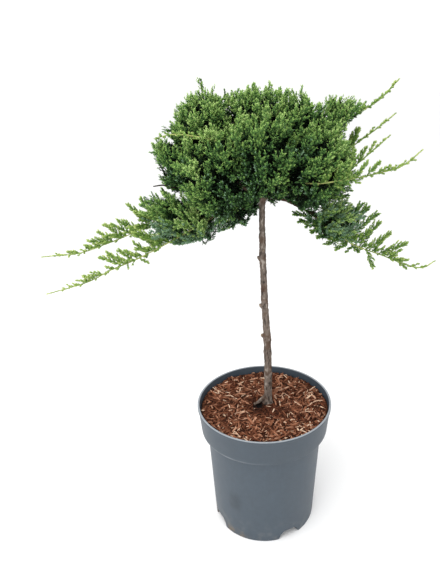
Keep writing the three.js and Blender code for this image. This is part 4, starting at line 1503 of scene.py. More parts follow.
def side_shoots(curves, count, random, flat=0.0, plane=None, slim=0.0):
    """The short shoots of many sprays. Along each spray's curve they leave it at golden turns, or on a flat
    spray to its two sides by turns, more aslant and shorter towards its tip and underneath, and bend to its
    own way and up. slim gives how much shorter and closer to it they are on each spray."""
    start, control, end = curves
    k = np.arange(count)
    share = 0.08 + 0.86 * (k + 0.6 * random.random((len(start), count))) / count
    places, ways = bezier(start, control, end, share)
    hint = across_of(ways) if plane is None else plane[:, None] + 0 * ways
    across, over = frames_of(ways, hint)
    round_turn = k * GOLDEN_TURN + random.random((len(start), 1)) * 2 * math.pi
    side_turn = k * math.pi + random.normal(0, 0.45, (len(start), count))
    if plane is None:
        side_turn = side_turn + random.random((len(start), 1)) * 2 * math.pi
    turn = np.where(random.random((len(start), 1)) < flat, side_turn, round_turn)[..., None]
    out = np.cos(turn) * across + np.sin(turn) * over
    slim = np.broadcast_to(slim, len(start))[:, None]
    angle = (0.88 - 0.08 * flat - 0.35 * share) * (1 - 0.45 * slim) + random.normal(0, 0.1, share.shape)
    angle = angle[..., None]
    way = np.cos(angle) * ways + np.sin(angle) * out
    run = np.linalg.norm(end - start, axis=1)[:, None]
    low, high = SHOOT_SHARE if flat < 1 else FLAT_SHARE
    longest = LONGEST_SHOOT if flat < 1 else LONGEST_LOBE
    size = np.clip(run * (low + (high - low) * share), SHORTEST_SHOOT, longest)
    size = size * (1 + 0.22 * out[..., 2]) * (0.75 + 0.5 * random.random(share.shape)) * (1 - 0.5 * slim)
    size = size[..., None]
    bend = places + way * size * 0.55
    tip = bend + unit(way + ways + 0.25 * UP) * size * 0.5
    return tuple(points.reshape(-1, 3) for points in (places, bend, tip))


def seen_height(points):
    """The height on the plane through the stem at which the photo's view shows points."""
    return points[:, 2] + VIEW_FALL * points[:, 1]


def in_sky(tips):
    """Which tips would cover a small patch of sky beside the crown, seen from the photo's side."""
    height = seen_height(tips)
    return np.any([np.hypot(tips[:, 0] - x, height - z) < radius for x, z, radius in SKY], axis=0)


def above_underside(name, tips):
    """Which tips lie above the crown's ragged underside, and for the right arm also above its own."""
    x, z = np.array(UNDERSIDE_LEFT + UNDERSIDE_RIGHT, float).T
    floor = np.interp(tips[:, 0], x, z, left=0, right=0)
    height = seen_height(tips)
    above = height > floor + UNDERSIDE_RAGGED * smooth_noise(tips, RAGGED_SIZE, RAGGED_SEED)
    if name == "arm_right":
        x, z, rise = ARM_UNDERSIDE
        above &= height > z + rise * (tips[:, 0] - x)
    return above & ~in_sky(tips)


def bells(points, rows):
    """The sum, at each point, of a bell curve round every row's middle, of its radius and height."""
    away = np.linalg.norm(points[:, None] - rows[:, :3], axis=-1) / rows[:, 3]
    return np.sum(np.exp(-(away**2)) * rows[:, 4], axis=1)


def place_light(points):
    """How much brighter the crown's sunny places and hollows make points."""
    return bells(points, LIT_PLACES)


def drawn_in(middle, way, far):
    """Reaches along ways from a mass's middle, drawn in where the crown is darker."""
    return far + SUNK_PLACE * np.minimum(place_light(middle + way * far[:, None]), 0)


def swollen(middle, way, far):
    """Reaches pushed out where the crown's outline swells."""
    return far + bells(middle + way * far[:, None], SWELLS)


def cut_left(middle, way, far):
    """Reaches cut back to the crown's left edge: by how far they pass it, over the way's part across it."""
    place = middle + way * far[:, None]
    x, z = np.array(LEFT_EDGE, float).T
    beyond = np.interp(place[:, 2], z, x) + LEFT_ROOM - place[:, 0]
    return far - np.clip(beyond / np.maximum(np.abs(way[:, 0]), SHALLOW), 0, LEFT_CUT)


def cut_top(middle, way, far, room):
    """Reaches cut back to the crown's top in the same way."""
    place = middle + way * far[:, None]
    beyond = place[:, 2] + room - np.interp(place[:, 0], *np.array(TOP, float).T)
    return far - np.clip(beyond / np.maximum(np.abs(way[:, 2]), SHALLOW), 0, TOP_CUT)


def depth_in_crown(points):
    """How deep points lie in the crown: the least share of its own reach, over all masses, at which an
    ellipsoid round a mass's middle meets the point. It is 1 on the outline and 0 in a mass's middle."""
    shares = [
        np.linalg.norm((points - np.array(middle, float)) / np.array(reach, float), axis=-1)
        for middle, reach, *_ in MASSES.values()
    ]
    return np.min(shares, axis=0)


def finer_ways(name, spacing, random):
    """Ways by the source's golden turns, nudged, as many as its outline holds at a spacing. The outline's
    area is 4 pi times the mean of the products of two reaches, each raised to 1.6, and that mean taken
    back."""
    reach, seed = np.array(MASSES[name][1], float), MASSES[name][2]
    a, b, c = reach
    area = 4 * math.pi * (((a * b) ** 1.6 + (a * c) ** 1.6 + (b * c) ** 1.6) / 3) ** (1 / 1.6)
    count = int(area / spacing**2)
    height = 1 - (2 * np.arange(count) + 1) / count
    turn = np.arange(count) * GOLDEN_TURN + seed
    flat = np.sqrt(1 - height**2)
    way = np.stack([np.cos(turn) * flat, np.sin(turn) * flat, height], axis=1)
    return unit(way + random.normal(0, 0.25 * spacing / np.mean(reach), way.shape))


def sprays_of(name, twig_way, twig_far, random):
    """The sprays of a mass as ways, reaches and how far each is sunk between the source's twigs: one on
    each of those twigs, and then finer ones, sunk in hollows, stopped at a wall, and kept where they
    show. Last come the ends of inner shoots that fill the valleys at the walls."""
    middle = np.array(MASSES[name][0], float)
    habit = HABITS.get(name, DENSE)
    way = finer_ways(name, habit.spacing, random)
    wall, open_way = wall_reach(walls_of(name), way), open_reach(name, way)
    far = np.minimum(open_way * (0.90 + 0.11 * random.random(len(way))), wall - 1)
    clump = smooth_noise(middle + way * far[:, None], CLUMP_SIZE, CLUMP_SEED)
    far *= habit.reach * (1 - CLUMP_DEPTH * (0.5 - 0.5 * clump))
    near = np.max(way @ twig_way.T, axis=1)
    sunk = np.clip((np.arccos(np.minimum(near, 1)) * far - MOUND_TOP) / MOUND_SLOPE, 0, 1)
    far = swollen(middle, way, drawn_in(middle, way, far - MOUND_DEPTH * sunk))
    far = cut_top(middle, way, cut_left(middle, way, far), TOP_ROOM)
    place = middle + way * far[:, None]
    sky = (smooth_noise(place, SKY_GAP_SIZE, SKY_GAP_SEED) < -0.9 + 1.5 * habit.gaps) & (habit.gaps > 0)
    keep = (wall > CREVICE * open_way) & (depth_in_crown(place) > SHOWN_DEPTH * habit.reach) & ~sky

    known = swollen(middle, twig_way, np.minimum(twig_far, open_reach(name, twig_way)) * habit.reach)
    known = cut_top(middle, twig_way, known, TWIG_TOP_ROOM)
    known = cut_left(middle, twig_way, drawn_in(middle, twig_way, known))
    all_ways = np.vstack([twig_way, way[keep]])
    all_far = np.concatenate([known, far[keep]])
    all_sunk = np.concatenate([np.zeros(len(known)), sunk[keep]])
    above = above_underside(name, middle + all_ways * all_far[:, None])
    walled = wall <= CREVICE * open_way
    fillers = middle + way[walled] * np.minimum(wall[walled] - 1, 0.6 * open_way[walled])[:, None]
    return all_ways[above], all_far[above], all_sunk[above], fillers


Growth = namedtuple("Growth", "twig_way root stem spray inner way sunk random")


def grow_mass(name):
    """A mass's growth as start, control and end of quadratic curves. A spray's stem forks from the
    nearest of the source's twigs. The spray goes on from it, turned outwards from the head and up, and
    ends at its reach. Inner shoots run from the twigs' roots part of the way."""
    random = np.random.default_rng(MASSES[name][2])
    middle = np.array(MASSES[name][0], float)
    habit = HABITS.get(name, DENSE)
    twig_way, twig_far = twigs_of(name)
    way, reach, sunk, fillers = sprays_of(name, twig_way, twig_far, random)
    count = len(way)
    share = np.minimum(1, TWIG_SHARE * twig_far / TWIG_LENGTH)
    root = middle + twig_way * (twig_far - share * TWIG_LENGTH)[:, None]
    nearest = np.argmax(way @ twig_way.T, axis=1)
    along = (share[nearest] * (2 + 16 * random.random(count)))[:, None]
    fork = root[nearest] + twig_way[nearest] * along
    tip = middle + way * reach[:, None]
    outwards = unit(tip - HEAD)
    facing = np.maximum(np.sum(way * outwards, axis=1, keepdims=True), 0.1)
    growth = unit(0.5 * way + habit.sweep * facing * outwards + LIFT * UP * (0.5 + habit.sweep))
    mound = middle + twig_way[nearest] * twig_far[nearest, None]
    fan = FAN * (tip - mound) / (MOUND_TOP + MOUND_SLOPE)
    growth = unit(growth + fan + random.normal(0, 0.14, way.shape))
    length = (SPRAY_LENGTH * habit.longer * (0.8 + 0.4 * random.random(count)))[:, None]
    node = tip - growth * length
    sound = above_underside(name, node + 8 * UP)
    proud = random.random(count) < habit.proud
    extra = np.where(proud, random.uniform(*LONG_EXTRA, count), 0)[:, None]
    stem = fork, node - growth * NODE_BACK, node
    spray = node, node + growth * length * 0.5 - 0.14 * extra * UP, tip + growth * extra
    stem, spray = (tuple(points[sound] for points in curves) for curves in (stem, spray))

    inner = slice(None, None, habit.inner)
    hidden = middle + way[inner] * reach[inner, None] * INNER_DEPTH
    covered = above_underside(name, hidden - 8 * UP)
    fillers = fillers[above_underside(name, fillers - 14 * UP)]
    hub = np.vstack([root[nearest][inner][covered], middle + 0.25 * (fillers - middle)])
    hidden = np.vstack([hidden[covered], fillers])
    inner_shoots = hub, (hub + hidden) / 2 + 3 * UP, hidden
    return Growth(twig_way, root, stem, spray, inner_shoots, way[sound], sunk[sound], random)


def shown_sprays(name, places, random):
    """The sprays that are given one by one, as curves from their feet on a limb's evenly spaced places. They
    bow upwards where they rise and downwards where they hang."""
    rows = np.array(SHOWN_SPRAYS.get(name, ()), float).reshape(-1, 3)
    feet = at_share(places, rows[:, 0])
    tips = np.stack([rows[:, 1], feet[:, 1] + random.normal(0, 5, len(rows)), rows[:, 2]], axis=1)
    size = np.linalg.norm(tips - feet, axis=1, keepdims=True)
    bow = 0.08 * size * np.sign((tips - feet) @ UP)[:, None] * UP
    return feet, (feet + tips) / 2 + bow, tips


def bough_sprays(name, random):
    """Leafy sprays along the outer part of a low bough, as curves: they leave it at golden turns, rise
    from it, and stay above the crown's underside."""
    places, ways = bough_path(name, LIMB_ROWS)
    share = np.linspace(*BOUGH_LEAFY, BOUGH_SPRAYS) + random.normal(0, 0.01, BOUGH_SPRAYS)
    at = (share * (LIMB_ROWS - 1)).astype(int)
    across, over = frames_of(ways[at], across_of(ways[at]))
    turn = (np.arange(BOUGH_SPRAYS) * GOLDEN_TURN)[:, None]
    head = unit(np.cos(turn) * across + np.sin(turn) * over + 0.5 * ways[at] + 0.3 * UP)
    size = (16 + 12 * random.random(BOUGH_SPRAYS))[:, None]
    curves = places[at], places[at] + head * size * 0.5, places[at] + unit(head + 0.2 * UP) * size
    above = above_underside(name, curves[2])
    return tuple(points[above] for points in curves)


def coolness(points):
    """How far down in the crown's bluish lower part points lie, from 0 to 1: their depth under its level,
    which is higher on the right."""
    start, run = COOL_EDGE
    level = COOL_LEVEL + COOL_RIGHT * np.clip((points[:, 0] - start) / run, 0, 1)
    return np.clip((level - points[:, 2]) / COOL_DEPTH, 0, 1)


def exposure(tip, aim):
    """How much light a shoot gets, from 0 to 1.2: by how high it stands, how far up it faces, and, low
    down, how far out to the left or right it is."""
    height = np.clip((tip[:, 2] - LIT_FOOT) / LIT_RISE, 0, 1)
    left = np.clip((-tip[:, 0] - LIT_LEFT[0]) / LIT_LEFT[1], 0, 1)
    right = np.clip((tip[:, 0] - LIT_RIGHT[0]) / LIT_RIGHT[1], 0, 1)
    facing = 0.5 + 0.5 * aim[:, 2]
    return np.clip(0.6 * height + 0.4 * facing + 0.85 * (0.7 * left + right) * (1 - height), 0, 1.2)


def stalks(start, control, end, foot, tip, rings, sides):
    """Thin tapering stems along quadratic curves."""
    shares = np.broadcast_to(np.linspace(0, 1, rings), (len(start), rings))
    places, _ = bezier(start, control, end, shares)
    radii = np.broadcast_to(np.linspace(foot, tip, rings), (len(start), rings))
    return tubes(places, radii, sides)


def grow_sprays(
    needles, curves, tone, climb, settings, dusty=None, flat=0.0, plane=None, slim=None, full=False
):
    """The needles of many sprays: round the spray's own stem, and round its short side shoots, whose number
    goes by the spray's length. flat is how many of the sprays are flat, plane gives the ways that lie in
    theirs, and full ones have their short shoots closely needled."""
    run = np.linalg.norm(curves[2] - curves[0], axis=1)
    step = SHOOT_STEP if flat < 1 else FLAT_STEP
    shoots = np.clip((run / step).astype(int), 2, MOST_PLUMES if full else MOST_SHOOTS)
    per_shoot = settings.shoot_needles if flat < 1 else LOBE_NEEDLES
    if full:
        per_shoot = PLUME_NEEDLES
    climb = np.broadcast_to(climb, len(run))
    for count in np.unique(shoots):
        chosen = shoots == count
        some = tuple(points[chosen] for points in curves)
        dust = None if dusty is None else dusty[chosen]
        on_stem = int(LEADER_NEEDLES * count / (4 if full else 8))
        thin = np.zeros(len(some[0])) if slim is None else slim[chosen]
        needles.grow(some, on_stem, tone[chosen] + 0.3, climb[chosen] * 0.8, dusty=dust, slim=thin)
        dust = None if dusty is None else np.repeat(dust, count)
        lying = None if plane is None else plane[chosen]
        sides = side_shoots(some, int(count), needles.random, flat, lying, thin)
        per_spray = tone[chosen], climb[chosen], thin
        side_tone, side_climb, side_thin = (np.repeat(values, count) for values in per_spray)
        size = 1.0 if full else 0.9
        needles.grow(sides, per_shoot, side_tone, side_climb, size=size, dusty=dust, slim=side_thin)


def light_on(growth):
    """How bright each spray of a mass is: by its exposure, uneven by clumps, darker between the source's
    twigs, and as the crown's own places say."""
    light = exposure(growth.spray[2], growth.way)
    light += 0.14 * smooth_noise(growth.spray[2], CLUMP_SIZE, CLUMP_SEED) + 0.14 - 0.3 * growth.sunk
    return light + place_light(growth.spray[2]) + growth.random.normal(0, 0.07, len(light))


def mass_needles(name, growth, settings):
    """All the needles of a mass: dark ones on its inner shoots and stems, then its sprays, painted brighter
    where the light falls, and bluish, as painted cool shade, where they are dark or low down, besides random
    bluish patches."""
    light = light_on(growth)
    curves = growth.spray, growth.inner, growth.stem
    cool, inner_cool, stem_cool = (coolness(ends) for _, _, ends in curves)
    inner_tone_lift = ARM_TONE if name == "arm_right" else 0.0
    # painted shade: needles are bluish more often where the spray's light is low and low in the crown, as
    # cool shade, and in random patches
    dust = 1.4 * (0.62 - light) + 0.3 * smooth_noise(growth.spray[2], DUST_SIZE, DUST_SEED) + 1.4 * cool
    dust = np.minimum(dust, MOST_BLUISH + 0.15 * cool)
    needles = Needles(settings.needle_length / MM, settings.needle_width / MM, GROWN_TONES, growth.random)
    # painted light: low in the crown the inner and stem needles are brighter, as the light from below. The
    # right arm's inner needles are brighter as well.
    tone, size = INNER_TONE + inner_tone_lift + inner_cool, INNER_SIZE - inner_tone_lift / 2
    needles.grow(growth.inner, INNER_NEEDLES, tone, INNER_CLIMB, first=0.3, size=size, spread=(1.1, 0.8))
    tone = STEM_TONE + inner_tone_lift + stem_cool
    needles.grow(growth.stem, STEM_NEEDLES, tone, STEM_CLIMB, first=0.3, size=STEM_SIZE, spread=(1.0, 0.7))
    # painted light and shade: a spray's tone, and how much brighter its tip grows, rise with the light on it
    # and low in the crown
    tone, climb = SPRAY_TONE + 2.1 * light + 0.4 * cool, SPRAY_CLIMB + 0.9 * light
    grow_sprays(needles, growth.spray, tone, climb, settings, dusty=dust, flat=HABITS.get(name, DENSE).flat)
    if name in LEAFY_BOUGHS:
        more = bough_sprays(name, growth.random)
        tone, dust = np.full((2, len(more[0])), [[BOUGH_TONE], [BOUGH_DUST]])
        grow_sprays(needles, more, tone, BOUGH_CLIMB, settings, dusty=dust, full=True)
    return needles


def mass_twigs(name, growth):
    """The wood inside a mass: stems from the bough's tip to the source's twigs, those twigs, and the sprays'
    stems, as one shape with each face's slot."""
    bough, ways = bough_path(name)
    clothed = above_underside(name, growth.root + growth.twig_way * TWIG_LEAFY + 4 * UP)
    root, twig_way = growth.root[clothed], growth.twig_way[clothed]
    hub = np.repeat(bough[-1:], len(root), axis=0)
    bow = hub + ways[-1] * 0.35 * np.linalg.norm(root - hub, axis=1, keepdims=True)
    top = root + twig_way * TWIG_LEAFY
    parts = [
        stalks(hub, bow, root, 1.7, 1.2, 7, 5),
        stalks(root, (root + top) / 2, top, 1.2, 0.8, 4, 5),
        stalks(*growth.stem, 0.8, 0.6, 3, 3),
        stalks(*growth.spray, 0.6, 0.35, 3, 3),
    ]
    return joined(parts), slots_of(parts, (0, 0, 0, 1))


def make_foliage(settings):
    """The needles and twigs of every mass."""
    greens = greens_of("needles", GROWN_GREENS, settings)
    # painted shade: the twigs' wood is a near-black olive, darker than the bark, as the shade inside the
    # crown
    woods = [plain("twig_wood", linear(34, 34, 18), 0.85), plain("twig_green", linear(48, 66, 30), 0.7)]
    for name in MASSES:
        growth = grow_mass(name)
        needles = mass_needles(name, growth, settings)
        dress(needles.piece(f"needles_{name}", greens), "needles", f"foliage_{name}")
        shape, slots = mass_twigs(name, growth)
        dress(new_piece(f"twigs_{name}", shape, woods, slots), "bark")


# Long shoots


def aside(way, angle, turn):
    """A way that leaves another at an angle, at a turn round it."""
    across = np.cross((0, 0, 1.0), way)
    across = np.array((1.0, 0, 0)) if across @ across < 1e-4 else unit(across)
    across = across * math.cos(turn) + np.cross(way, across) * math.sin(turn)
    return unit(way * math.cos(angle) + across * math.sin(angle))


def whip_shoots(name):
    """The source's side shoots as ways, lengths and shares of the way to the tip: on alternate sides, longest
    near the foot, and lifted a little."""
    _, _, bare, count, longest, seed = WHIPS[name]
    _, ways = whip_path(name, LIMB_ROWS)
    random = seeded(seed)
    shoots = []
    for i in range(count):
        share = bare + (0.97 - bare) * (i + 0.6 * random()) / count
        turn = (0.5 if i % 2 else -0.5) * math.pi + (random() - 0.5) * 1.6
        way = unit(aside(unit(at_share(ways, share)), 0.5 + 0.2 * random(), turn) + 0.2 * UP)
        length = (0.3 + 0.7 * (1 - share)) * longest * (0.7 + 0.5 * random())
        random()  # the source draws this shoot's own turn here
        shoots.append((way, length, share))
    return shoots


def whip_sprays(name, random):
    """The sprays of a long shoot as curves, the ways of the planes they are flat in, and the share along
    it where each stands: the source's side shoots first, then more near its foot, and small ones further
    out. Those above rise from the long shoot, steeply near its foot and close along it towards its tip.
    Those below hang, and are short."""
    places, ways = whip_path(name, LIMB_ROWS)
    bare, length = WHIPS[name][2], np.linalg.norm(places[-1] - places[0])
    leafy = LEAFY_FROM.get(name, bare)
    shares, sizes, above, turns = [], [], [], []
    for way, size, share in whip_shoots(name):
        if share > LEADER_FROM:
            continue
        up = way @ UP > unit(at_share(ways, share)) @ UP
        shares.append(share)
        sizes.append(size * (SOURCE_SHARES.get(name, 0.65) if up else 0.35) * (1 - 0.3 * share**2))
        above.append(up)
        turns.append(random.normal(0, 0.45))
    for share in np.arange(leafy, LEADER_FROM, FILL_STEP / length):
        shares.append(share)
        longest, shortest = FILL_LENGTHS.get(name, (18, 8))
        sizes.append((longest + (shortest - longest) * share) * (0.8 + 0.4 * random.random()))
        above.append(random.random() < 0.7)
        turns.append(random.normal(0, 0.7 - 0.5 * share))
    shares, sizes, above, turns = (np.array(values) for values in (shares, sizes, above, turns))
    roots, forward = at_share(places, shares), unit(at_share(ways, shares))
    rise = np.arctan2(forward[:, 2], np.hypot(forward[:, 0], forward[:, 1]))
    course = np.arctan2(forward[:, 1], forward[:, 0]) + turns
    steep = np.maximum(rise + 0.36 - 0.1 * shares, RISES.get(name, 0.3) * (1 - shares))
    tilt = np.where(above, steep, rise - 0.45 + 0.25 * shares) + random.normal(0, 0.12, len(shares))
    heads = np.stack([np.cos(course) * np.cos(tilt), np.sin(course) * np.cos(tilt), np.sin(tilt)], axis=1)
    sizes = (np.maximum(sizes, 6.0) * np.where(above, 1.0, 0.65))[:, None]
    bend = roots + unit(heads + 0.15 * forward) * sizes * 0.45
    tips = bend + unit(heads + 0.1 * forward) * sizes * 0.58
    kept = ~in_sky(tips)
    roots, bend, tips, forward, shares = (values[kept] for values in (roots, bend, tips, forward, shares))
    shown = shown_sprays(name, places, random)
    at = (np.array([row[0] for row in SHOWN_SPRAYS.get(name, ())]) * (LIMB_ROWS - 1)).astype(int)
    forward = np.vstack([forward, ways[at]])
    curves = tuple(np.vstack(pair) for pair in zip((roots, bend, tips), shown))
    upright = unit(np.cross(forward, UP)) + random.normal(0, 0.25, forward.shape)
    plane = unit(np.cross(upright, curves[2] - curves[0]))
    return curves, plane, np.concatenate([shares, at / (LIMB_ROWS - 1)])


def make_strays(settings):
    """Small shoots that lie on the crown or stand out of it: a pale one over its left face with sprays
    along it, two dark tips on its top, and a bare twig end at its left."""
    length, width = settings.young_needle_length / MM, settings.young_needle_width / MM
    random = np.random.default_rng(STRAY_SEED)
    places, ways = spline(STRAY_PALE, STRAY_ROWS)
    count = STRAY_SPRAYS
    at = np.linspace(*STRAY_LEAFY, count).astype(int)
    side = np.where(np.arange(count) % 2, 0.8, -0.5)[:, None]
    head = unit(ways[at] + side * UP + random.normal(0, 0.2, (count, 3)))
    out = unit(head + ways[at]) * np.linspace(*STRAY_SIZES, count)[:, None]
    curves = places[at], places[at] + out * 0.5, places[at] + out
    pale = Needles(length, width, YOUNG_TONES, random)
    tone, slim = np.full(count, 1.8), np.full(count, 0.5)
    grow_sprays(pale, curves, tone, 2.2, settings, flat=1.0, slim=slim, full=True)
    greens = greens_of("stray", YOUNG_GREENS, settings, "young_")
    dress(pale.piece("needles_stray_pale", greens), "young_needles")

    dark = Needles(length, width, YOUNG_TONES, random)
    foot, top = (np.array(rows, float) for rows in STRAY_TIPS)
    tone, slim = np.full(len(foot), 0.6), np.full(len(foot), 0.85)
    grow_sprays(dark, (foot, (foot + top) / 2 + 1.0, top), tone, 1.8, settings, slim=slim)
    dress(dark.piece("needles_stray_tips", greens), "young_needles")

    twig, _ = spline(STRAY_TWIG, STRAY_TWIG_ROWS)
    stem = tubes(places[None], np.linspace(1.2, 0.5, STRAY_ROWS)[None], 6)
    bare = tubes(twig[None], np.linspace(1.6, 0.9, STRAY_TWIG_ROWS)[None], 6)
    woods = [plain("stray_green", linear(158, 164, 100), 0.6), plain("stray_wood", linear(44, 36, 28), 0.8)]
    parts = [stem, bare]
    piece = new_piece("stems_stray", joined(parts), woods, slots_of(parts, (0, 1)))
    dress(piece, "young_needles")


def make_whips(settings):
    """The needles and stems of every long shoot."""
    greens = greens_of("young", YOUNG_GREENS, settings, "young_")
    woods = [plain("whip_wood", linear(92, 78, 52), 0.8), plain("whip_green", linear(158, 164, 100), 0.6)]
    length, width = settings.young_needle_length / MM, settings.young_needle_width / MM
    for name in WHIPS:
        random = np.random.default_rng(WHIPS[name][5] + 100)
        sprays, plane, share = whip_sprays(name, random)
        needles = Needles(length, width, YOUNG_TONES, random)
        run = np.linalg.norm(sprays[2] - sprays[0], axis=1)
        slim = np.clip(0.3 + 0.85 * share - 0.02 * run, 0, 0.8)
        tone = (0.5 if "left" in name else 0.1) + 2.7 * share
        grow_sprays(needles, sprays, tone, 2.5, settings, flat=1.0, plane=plane, slim=slim, full=True)
        places, _ = whip_path(name, LEADER_ROWS)
        first = int(LEADER_ROWS * max(0.5, WHIPS[name][2] * 0.75))
        feet, tops = places[first:-1], places[first + 1 :]
        tone = 1.2 + 2.6 * np.linspace(first / LEADER_ROWS, 1, len(feet))
        leader = feet, (feet + tops) / 2, tops
        needles.grow(leader, 5, tone, 0.5, size=0.85, spread=(0.35, 0.3))
        dress(needles.piece(f"needles_{name}", greens), "young_needles", name)

        whip, _ = whip_path(name, WHIP_ROWS)
        radii = np.linspace(WHIP_FOOT_RADIUS * 0.6, WHIP_TIP_RADIUS * 0.6, WHIP_ROWS)
        shape = joined([tubes(whip[None], radii[None], WHIP_SIDES), stalks(*sprays, 0.7, 0.35, 4, 3)])
        slots = np.ones(len(shape[1]) + len(shape[2]), int)
        if name != "whip_right_front":
            slots[: int((WHIP_ROWS - 1) * WHIP_SIDES * WHIP_WOODY)] = 0
        dress(new_piece(f"stems_{name}", shape, woods, slots), "young_needles")
    make_strays(settings)


# Stage


def aimed_light(name, place, target, size, energy):
    """A soft square light that faces a target."""
    data = bpy.data.lights.new(name, "AREA")
    data.shape = "SQUARE"
    data.size = size
    data.energy = energy
    lamp = bpy.data.objects.new(name, data)
    way = unit(np.array(target) - np.array(place))
    lamp.location = place
    lamp.rotation_euler = (math.acos(-way[2]), 0, math.atan2(way[1], way[0]) - math.pi / 2)
    bpy.context.scene.collection.objects.link(lamp)


def make_stage(settings):
    """The floor, the even light of the room, two soft lights and the camera."""
    half = FLOOR_SIZE / 2
    corners = np.array([(-half, -half, 0), (half, -half, 0), (half, half, 0), (-half, half, 0)])
    shape = corners, np.array([[0, 1, 2, 3]]), NO_TRIANGLES
    floor = new_piece("studio_floor", shape, [floor_material(tuple(settings.floor_colour))])
    world = bpy.data.worlds.new("studio_light")
    world.use_nodes = True
    background = world.node_tree.nodes["Background"]
    background.inputs["Color"].default_value = (1, 1, 1, 1)
    background.inputs["Strength"].default_value = settings.room_light
    scene = bpy.context.scene
    scene.world = world
    scene.view_settings.view_transform = "Standard"
    aimed_light("overhead_light", (-0.5, -0.6, 2.0), (0, 0, 0.5), 1.6, settings.overhead_light)
    aimed_light("front_light", (-0.7, -1.9, 1.2), (0, 0, 0.4), 1.2, settings.front_light)
    data = bpy.data.cameras.new("camera")
    data.sensor_width = SENSOR
    data.lens = FOCAL_PIXELS / PHOTO_HEIGHT * SENSOR
    data.shift_x = (PHOTO_WIDTH / 2 - AXIS_PIXEL[0]) / PHOTO_HEIGHT
    data.shift_y = (AXIS_PIXEL[1] - PHOTO_HEIGHT / 2) / PHOTO_HEIGHT
    data.clip_end = 200
    camera = bpy.data.objects.new("camera", data)
    camera.location = CAMERA_PLACE
    camera.rotation_euler = (math.radians(90 - CAMERA_PITCH), 0, 0)
    scene.collection.objects.link(camera)
    scene.camera = camera


# Settings, operators and panel


def colour_setting(name, description, default):
    return bpy.props.FloatVectorProperty(
        name=name, description=description, default=default, subtype="COLOR", size=3, min=0, max=1
    )


def length_setting(name, description, default):
    return bpy.props.FloatProperty(
        name=name,
        description=description,
        default=default,
        subtype="DISTANCE",
        unit="LENGTH",
        min=0,
        precision=4,
    )


def power_setting(name, description, default):
    return bpy.props.FloatProperty(
        name=name, description=description, default=default, min=0, subtype="POWER", unit="POWER"
    )


class JuniperPotSettings(bpy.types.PropertyGroup):
    """What a user would change on the pot"""

    colour: colour_setting("Plastic", "Colour of the pot's plastic", linear(58, 69, 79))


class JuniperMulchSettings(bpy.types.PropertyGroup):
    """What a user would change on the mulch"""

    shreds: bpy.props.IntProperty(
        name="Shreds", description="How many bark shreds lie on the bed", default=2600, min=0
    )
    shred_length: length_setting("Shred length", "Length of a long shred", 0.016)


class JuniperBarkSettings(bpy.types.PropertyGroup):
    """What a user would change on the stem and boughs"""

    colour: colour_setting("Stem bark", "Middle colour of the stem's bark", linear(118, 106, 97))
    bough_colour: colour_setting("Bough bark", "Middle colour of the boughs' bark", linear(76, 60, 48))
    relief: length_setting("Relief", "Depth of the bark's plates", 0.0007)


class JuniperNeedleSettings(bpy.types.PropertyGroup):
    """What a user would change on the needles"""

    needle_length: length_setting("Needle length", "Length of a grown needle", 0.0042)
    needle_width: length_setting("Needle width", "Width of a needle at its foot", 0.0020)
    young_needle_length: length_setting("Young needle length", "Length of a needle on a long shoot", 0.0042)
    young_needle_width: length_setting("Young needle width", "Width of a needle on a long shoot", 0.0024)
    shoot_needles: bpy.props.IntProperty(
        name="Needles", description="Needles on each short shoot", default=SHOOT_NEEDLES, min=1
    )
    # The needles' greens are lit and shaded copies of one green, picked by painted light and shade as well as
    # by age. The oldest needles are painted darker still as deep shade, and the bluish ones also as cool
    # shade.
    old_colour: colour_setting("Old needles", "Colour of the oldest needles inside", linear(10, 26, 10))
    shade_colour: colour_setting("Shaded needles", "Colour of needles in the shade", linear(30, 56, 30))
    deep_colour: colour_setting("Deep needles", "Colour of the lower needles", linear(62, 97, 52))
    middle_colour: colour_setting("Middle needles", "Colour of most needles", linear(98, 138, 72))
    fresh_colour: colour_setting("Fresh needles", "Colour of the upper needles", linear(137, 172, 90))
    tip_colour: colour_setting("Tip needles", "Colour of the newest needles", linear(172, 200, 122))
    dusty_colour: colour_setting("Dusty needles", "Colour of bluish needles", linear(120, 152, 120))
    young_shade_colour: colour_setting("Young shaded", "Darkest needles of long shoots", linear(46, 76, 34))
    young_deep_colour: colour_setting("Young deep", "Inner needles of long shoots", linear(80, 116, 52))
    young_middle_colour: colour_setting("Young middle", "Most needles of long shoots", linear(112, 146, 68))
    young_fresh_colour: colour_setting("Young fresh", "Outer needles of long shoots", linear(146, 172, 92))
    young_tip_colour: colour_setting("Young tips", "Palest needles of long shoots", linear(188, 202, 128))


class JuniperStageSettings(bpy.types.PropertyGroup):
    """What a user would change on the stage"""

    floor_colour: colour_setting("Floor", "Colour of the studio floor", (0.94, 0.94, 0.94))
    room_light: bpy.props.FloatProperty(
        name="Room light", description="Even light from all round", default=1.08, min=0
    )
    overhead_light: power_setting("Overhead light", "Soft light from above", 24.0)
    front_light: power_setting("Front light", "Soft light from the front", 10.0)


class JUNIPER_OT_stage(bpy.types.Operator):
    """Makes the floor, the lights and the camera"""

    bl_idname = "juniper.stage"
    bl_label = "Stage"

    def execute(self, context):
        make_stage(context.scene.juniper_stage)
        return {"FINISHED"}


class JUNIPER_OT_pot(bpy.types.Operator):
    """Makes the nursery pot"""

    bl_idname = "juniper.pot"
    bl_label = "Pot"

    def execute(self, context):
        make_pot(context.scene.juniper_pot)
        return {"FINISHED"}


class JUNIPER_OT_mulch(bpy.types.Operator):
    """Makes the soil and the bark mulch on it"""

    bl_idname = "juniper.mulch"
    bl_label = "Mulch"

    def execute(self, context):
        make_bed()
        make_shreds(context.scene.juniper_mulch)
        return {"FINISHED"}


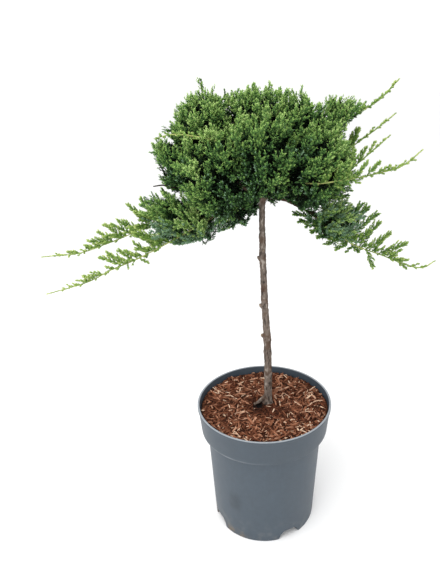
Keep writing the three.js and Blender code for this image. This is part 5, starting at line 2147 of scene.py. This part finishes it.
class JUNIPER_OT_stem(bpy.types.Operator):
    """Makes the stem with its graft, stubs and surface roots"""

    bl_idname = "juniper.stem"
    bl_label = "Stem"

    def execute(self, context):
        make_stem(context.scene.juniper_bark)
        return {"FINISHED"}


class JUNIPER_OT_boughs(bpy.types.Operator):
    """Makes the boughs"""

    bl_idname = "juniper.boughs"
    bl_label = "Boughs"

    def execute(self, context):
        make_boughs(context.scene.juniper_bark)
        return {"FINISHED"}


class JUNIPER_OT_foliage(bpy.types.Operator):
    """Makes the needles and twigs of the masses"""

    bl_idname = "juniper.foliage"
    bl_label = "Needles and twigs"

    def execute(self, context):
        make_foliage(context.scene.juniper_needles)
        return {"FINISHED"}


class JUNIPER_OT_whips(bpy.types.Operator):
    """Makes the long arching shoots"""

    bl_idname = "juniper.whips"
    bl_label = "Long shoots"

    def execute(self, context):
        make_whips(context.scene.juniper_needles)
        return {"FINISHED"}


OPERATORS = (
    JUNIPER_OT_stage,
    JUNIPER_OT_pot,
    JUNIPER_OT_mulch,
    JUNIPER_OT_stem,
    JUNIPER_OT_boughs,
    JUNIPER_OT_foliage,
    JUNIPER_OT_whips,
)
SETTINGS = {
    "juniper_pot": JuniperPotSettings,
    "juniper_mulch": JuniperMulchSettings,
    "juniper_bark": JuniperBarkSettings,
    "juniper_needles": JuniperNeedleSettings,
    "juniper_stage": JuniperStageSettings,
}


class JUNIPER_PT_panel(bpy.types.Panel):
    """Lists the pieces and their settings"""

    bl_idname = "JUNIPER_PT_panel"
    bl_label = "Potted juniper"
    bl_space_type = "VIEW_3D"
    bl_region_type = "UI"
    bl_category = "Juniper"

    def draw(self, context):
        for operator in OPERATORS:
            self.layout.operator(operator.bl_idname, text=operator.bl_label)
        for name, group in SETTINGS.items():
            box = self.layout.box()
            for setting in group.__annotations__:
                box.prop(getattr(context.scene, name), setting)


def register():
    for group in SETTINGS.values():
        bpy.utils.register_class(group)
    for name, group in SETTINGS.items():
        setattr(bpy.types.Scene, name, bpy.props.PointerProperty(type=group))
    for kind in (*OPERATORS, JUNIPER_PT_panel):
        bpy.utils.register_class(kind)


def unregister():
    for kind in (JUNIPER_PT_panel, *reversed(OPERATORS)):
        bpy.utils.unregister_class(kind)
    for name in SETTINGS:
        delattr(bpy.types.Scene, name)
    for group in SETTINGS.values():
        bpy.utils.unregister_class(group)


def main():
    register()
    bpy.ops.juniper.stage()
    bpy.ops.juniper.pot()
    bpy.ops.juniper.mulch()
    bpy.ops.juniper.stem()
    bpy.ops.juniper.boughs()
    bpy.ops.juniper.foliage()
    bpy.ops.juniper.whips()


if __name__ == "__main__":
    main()
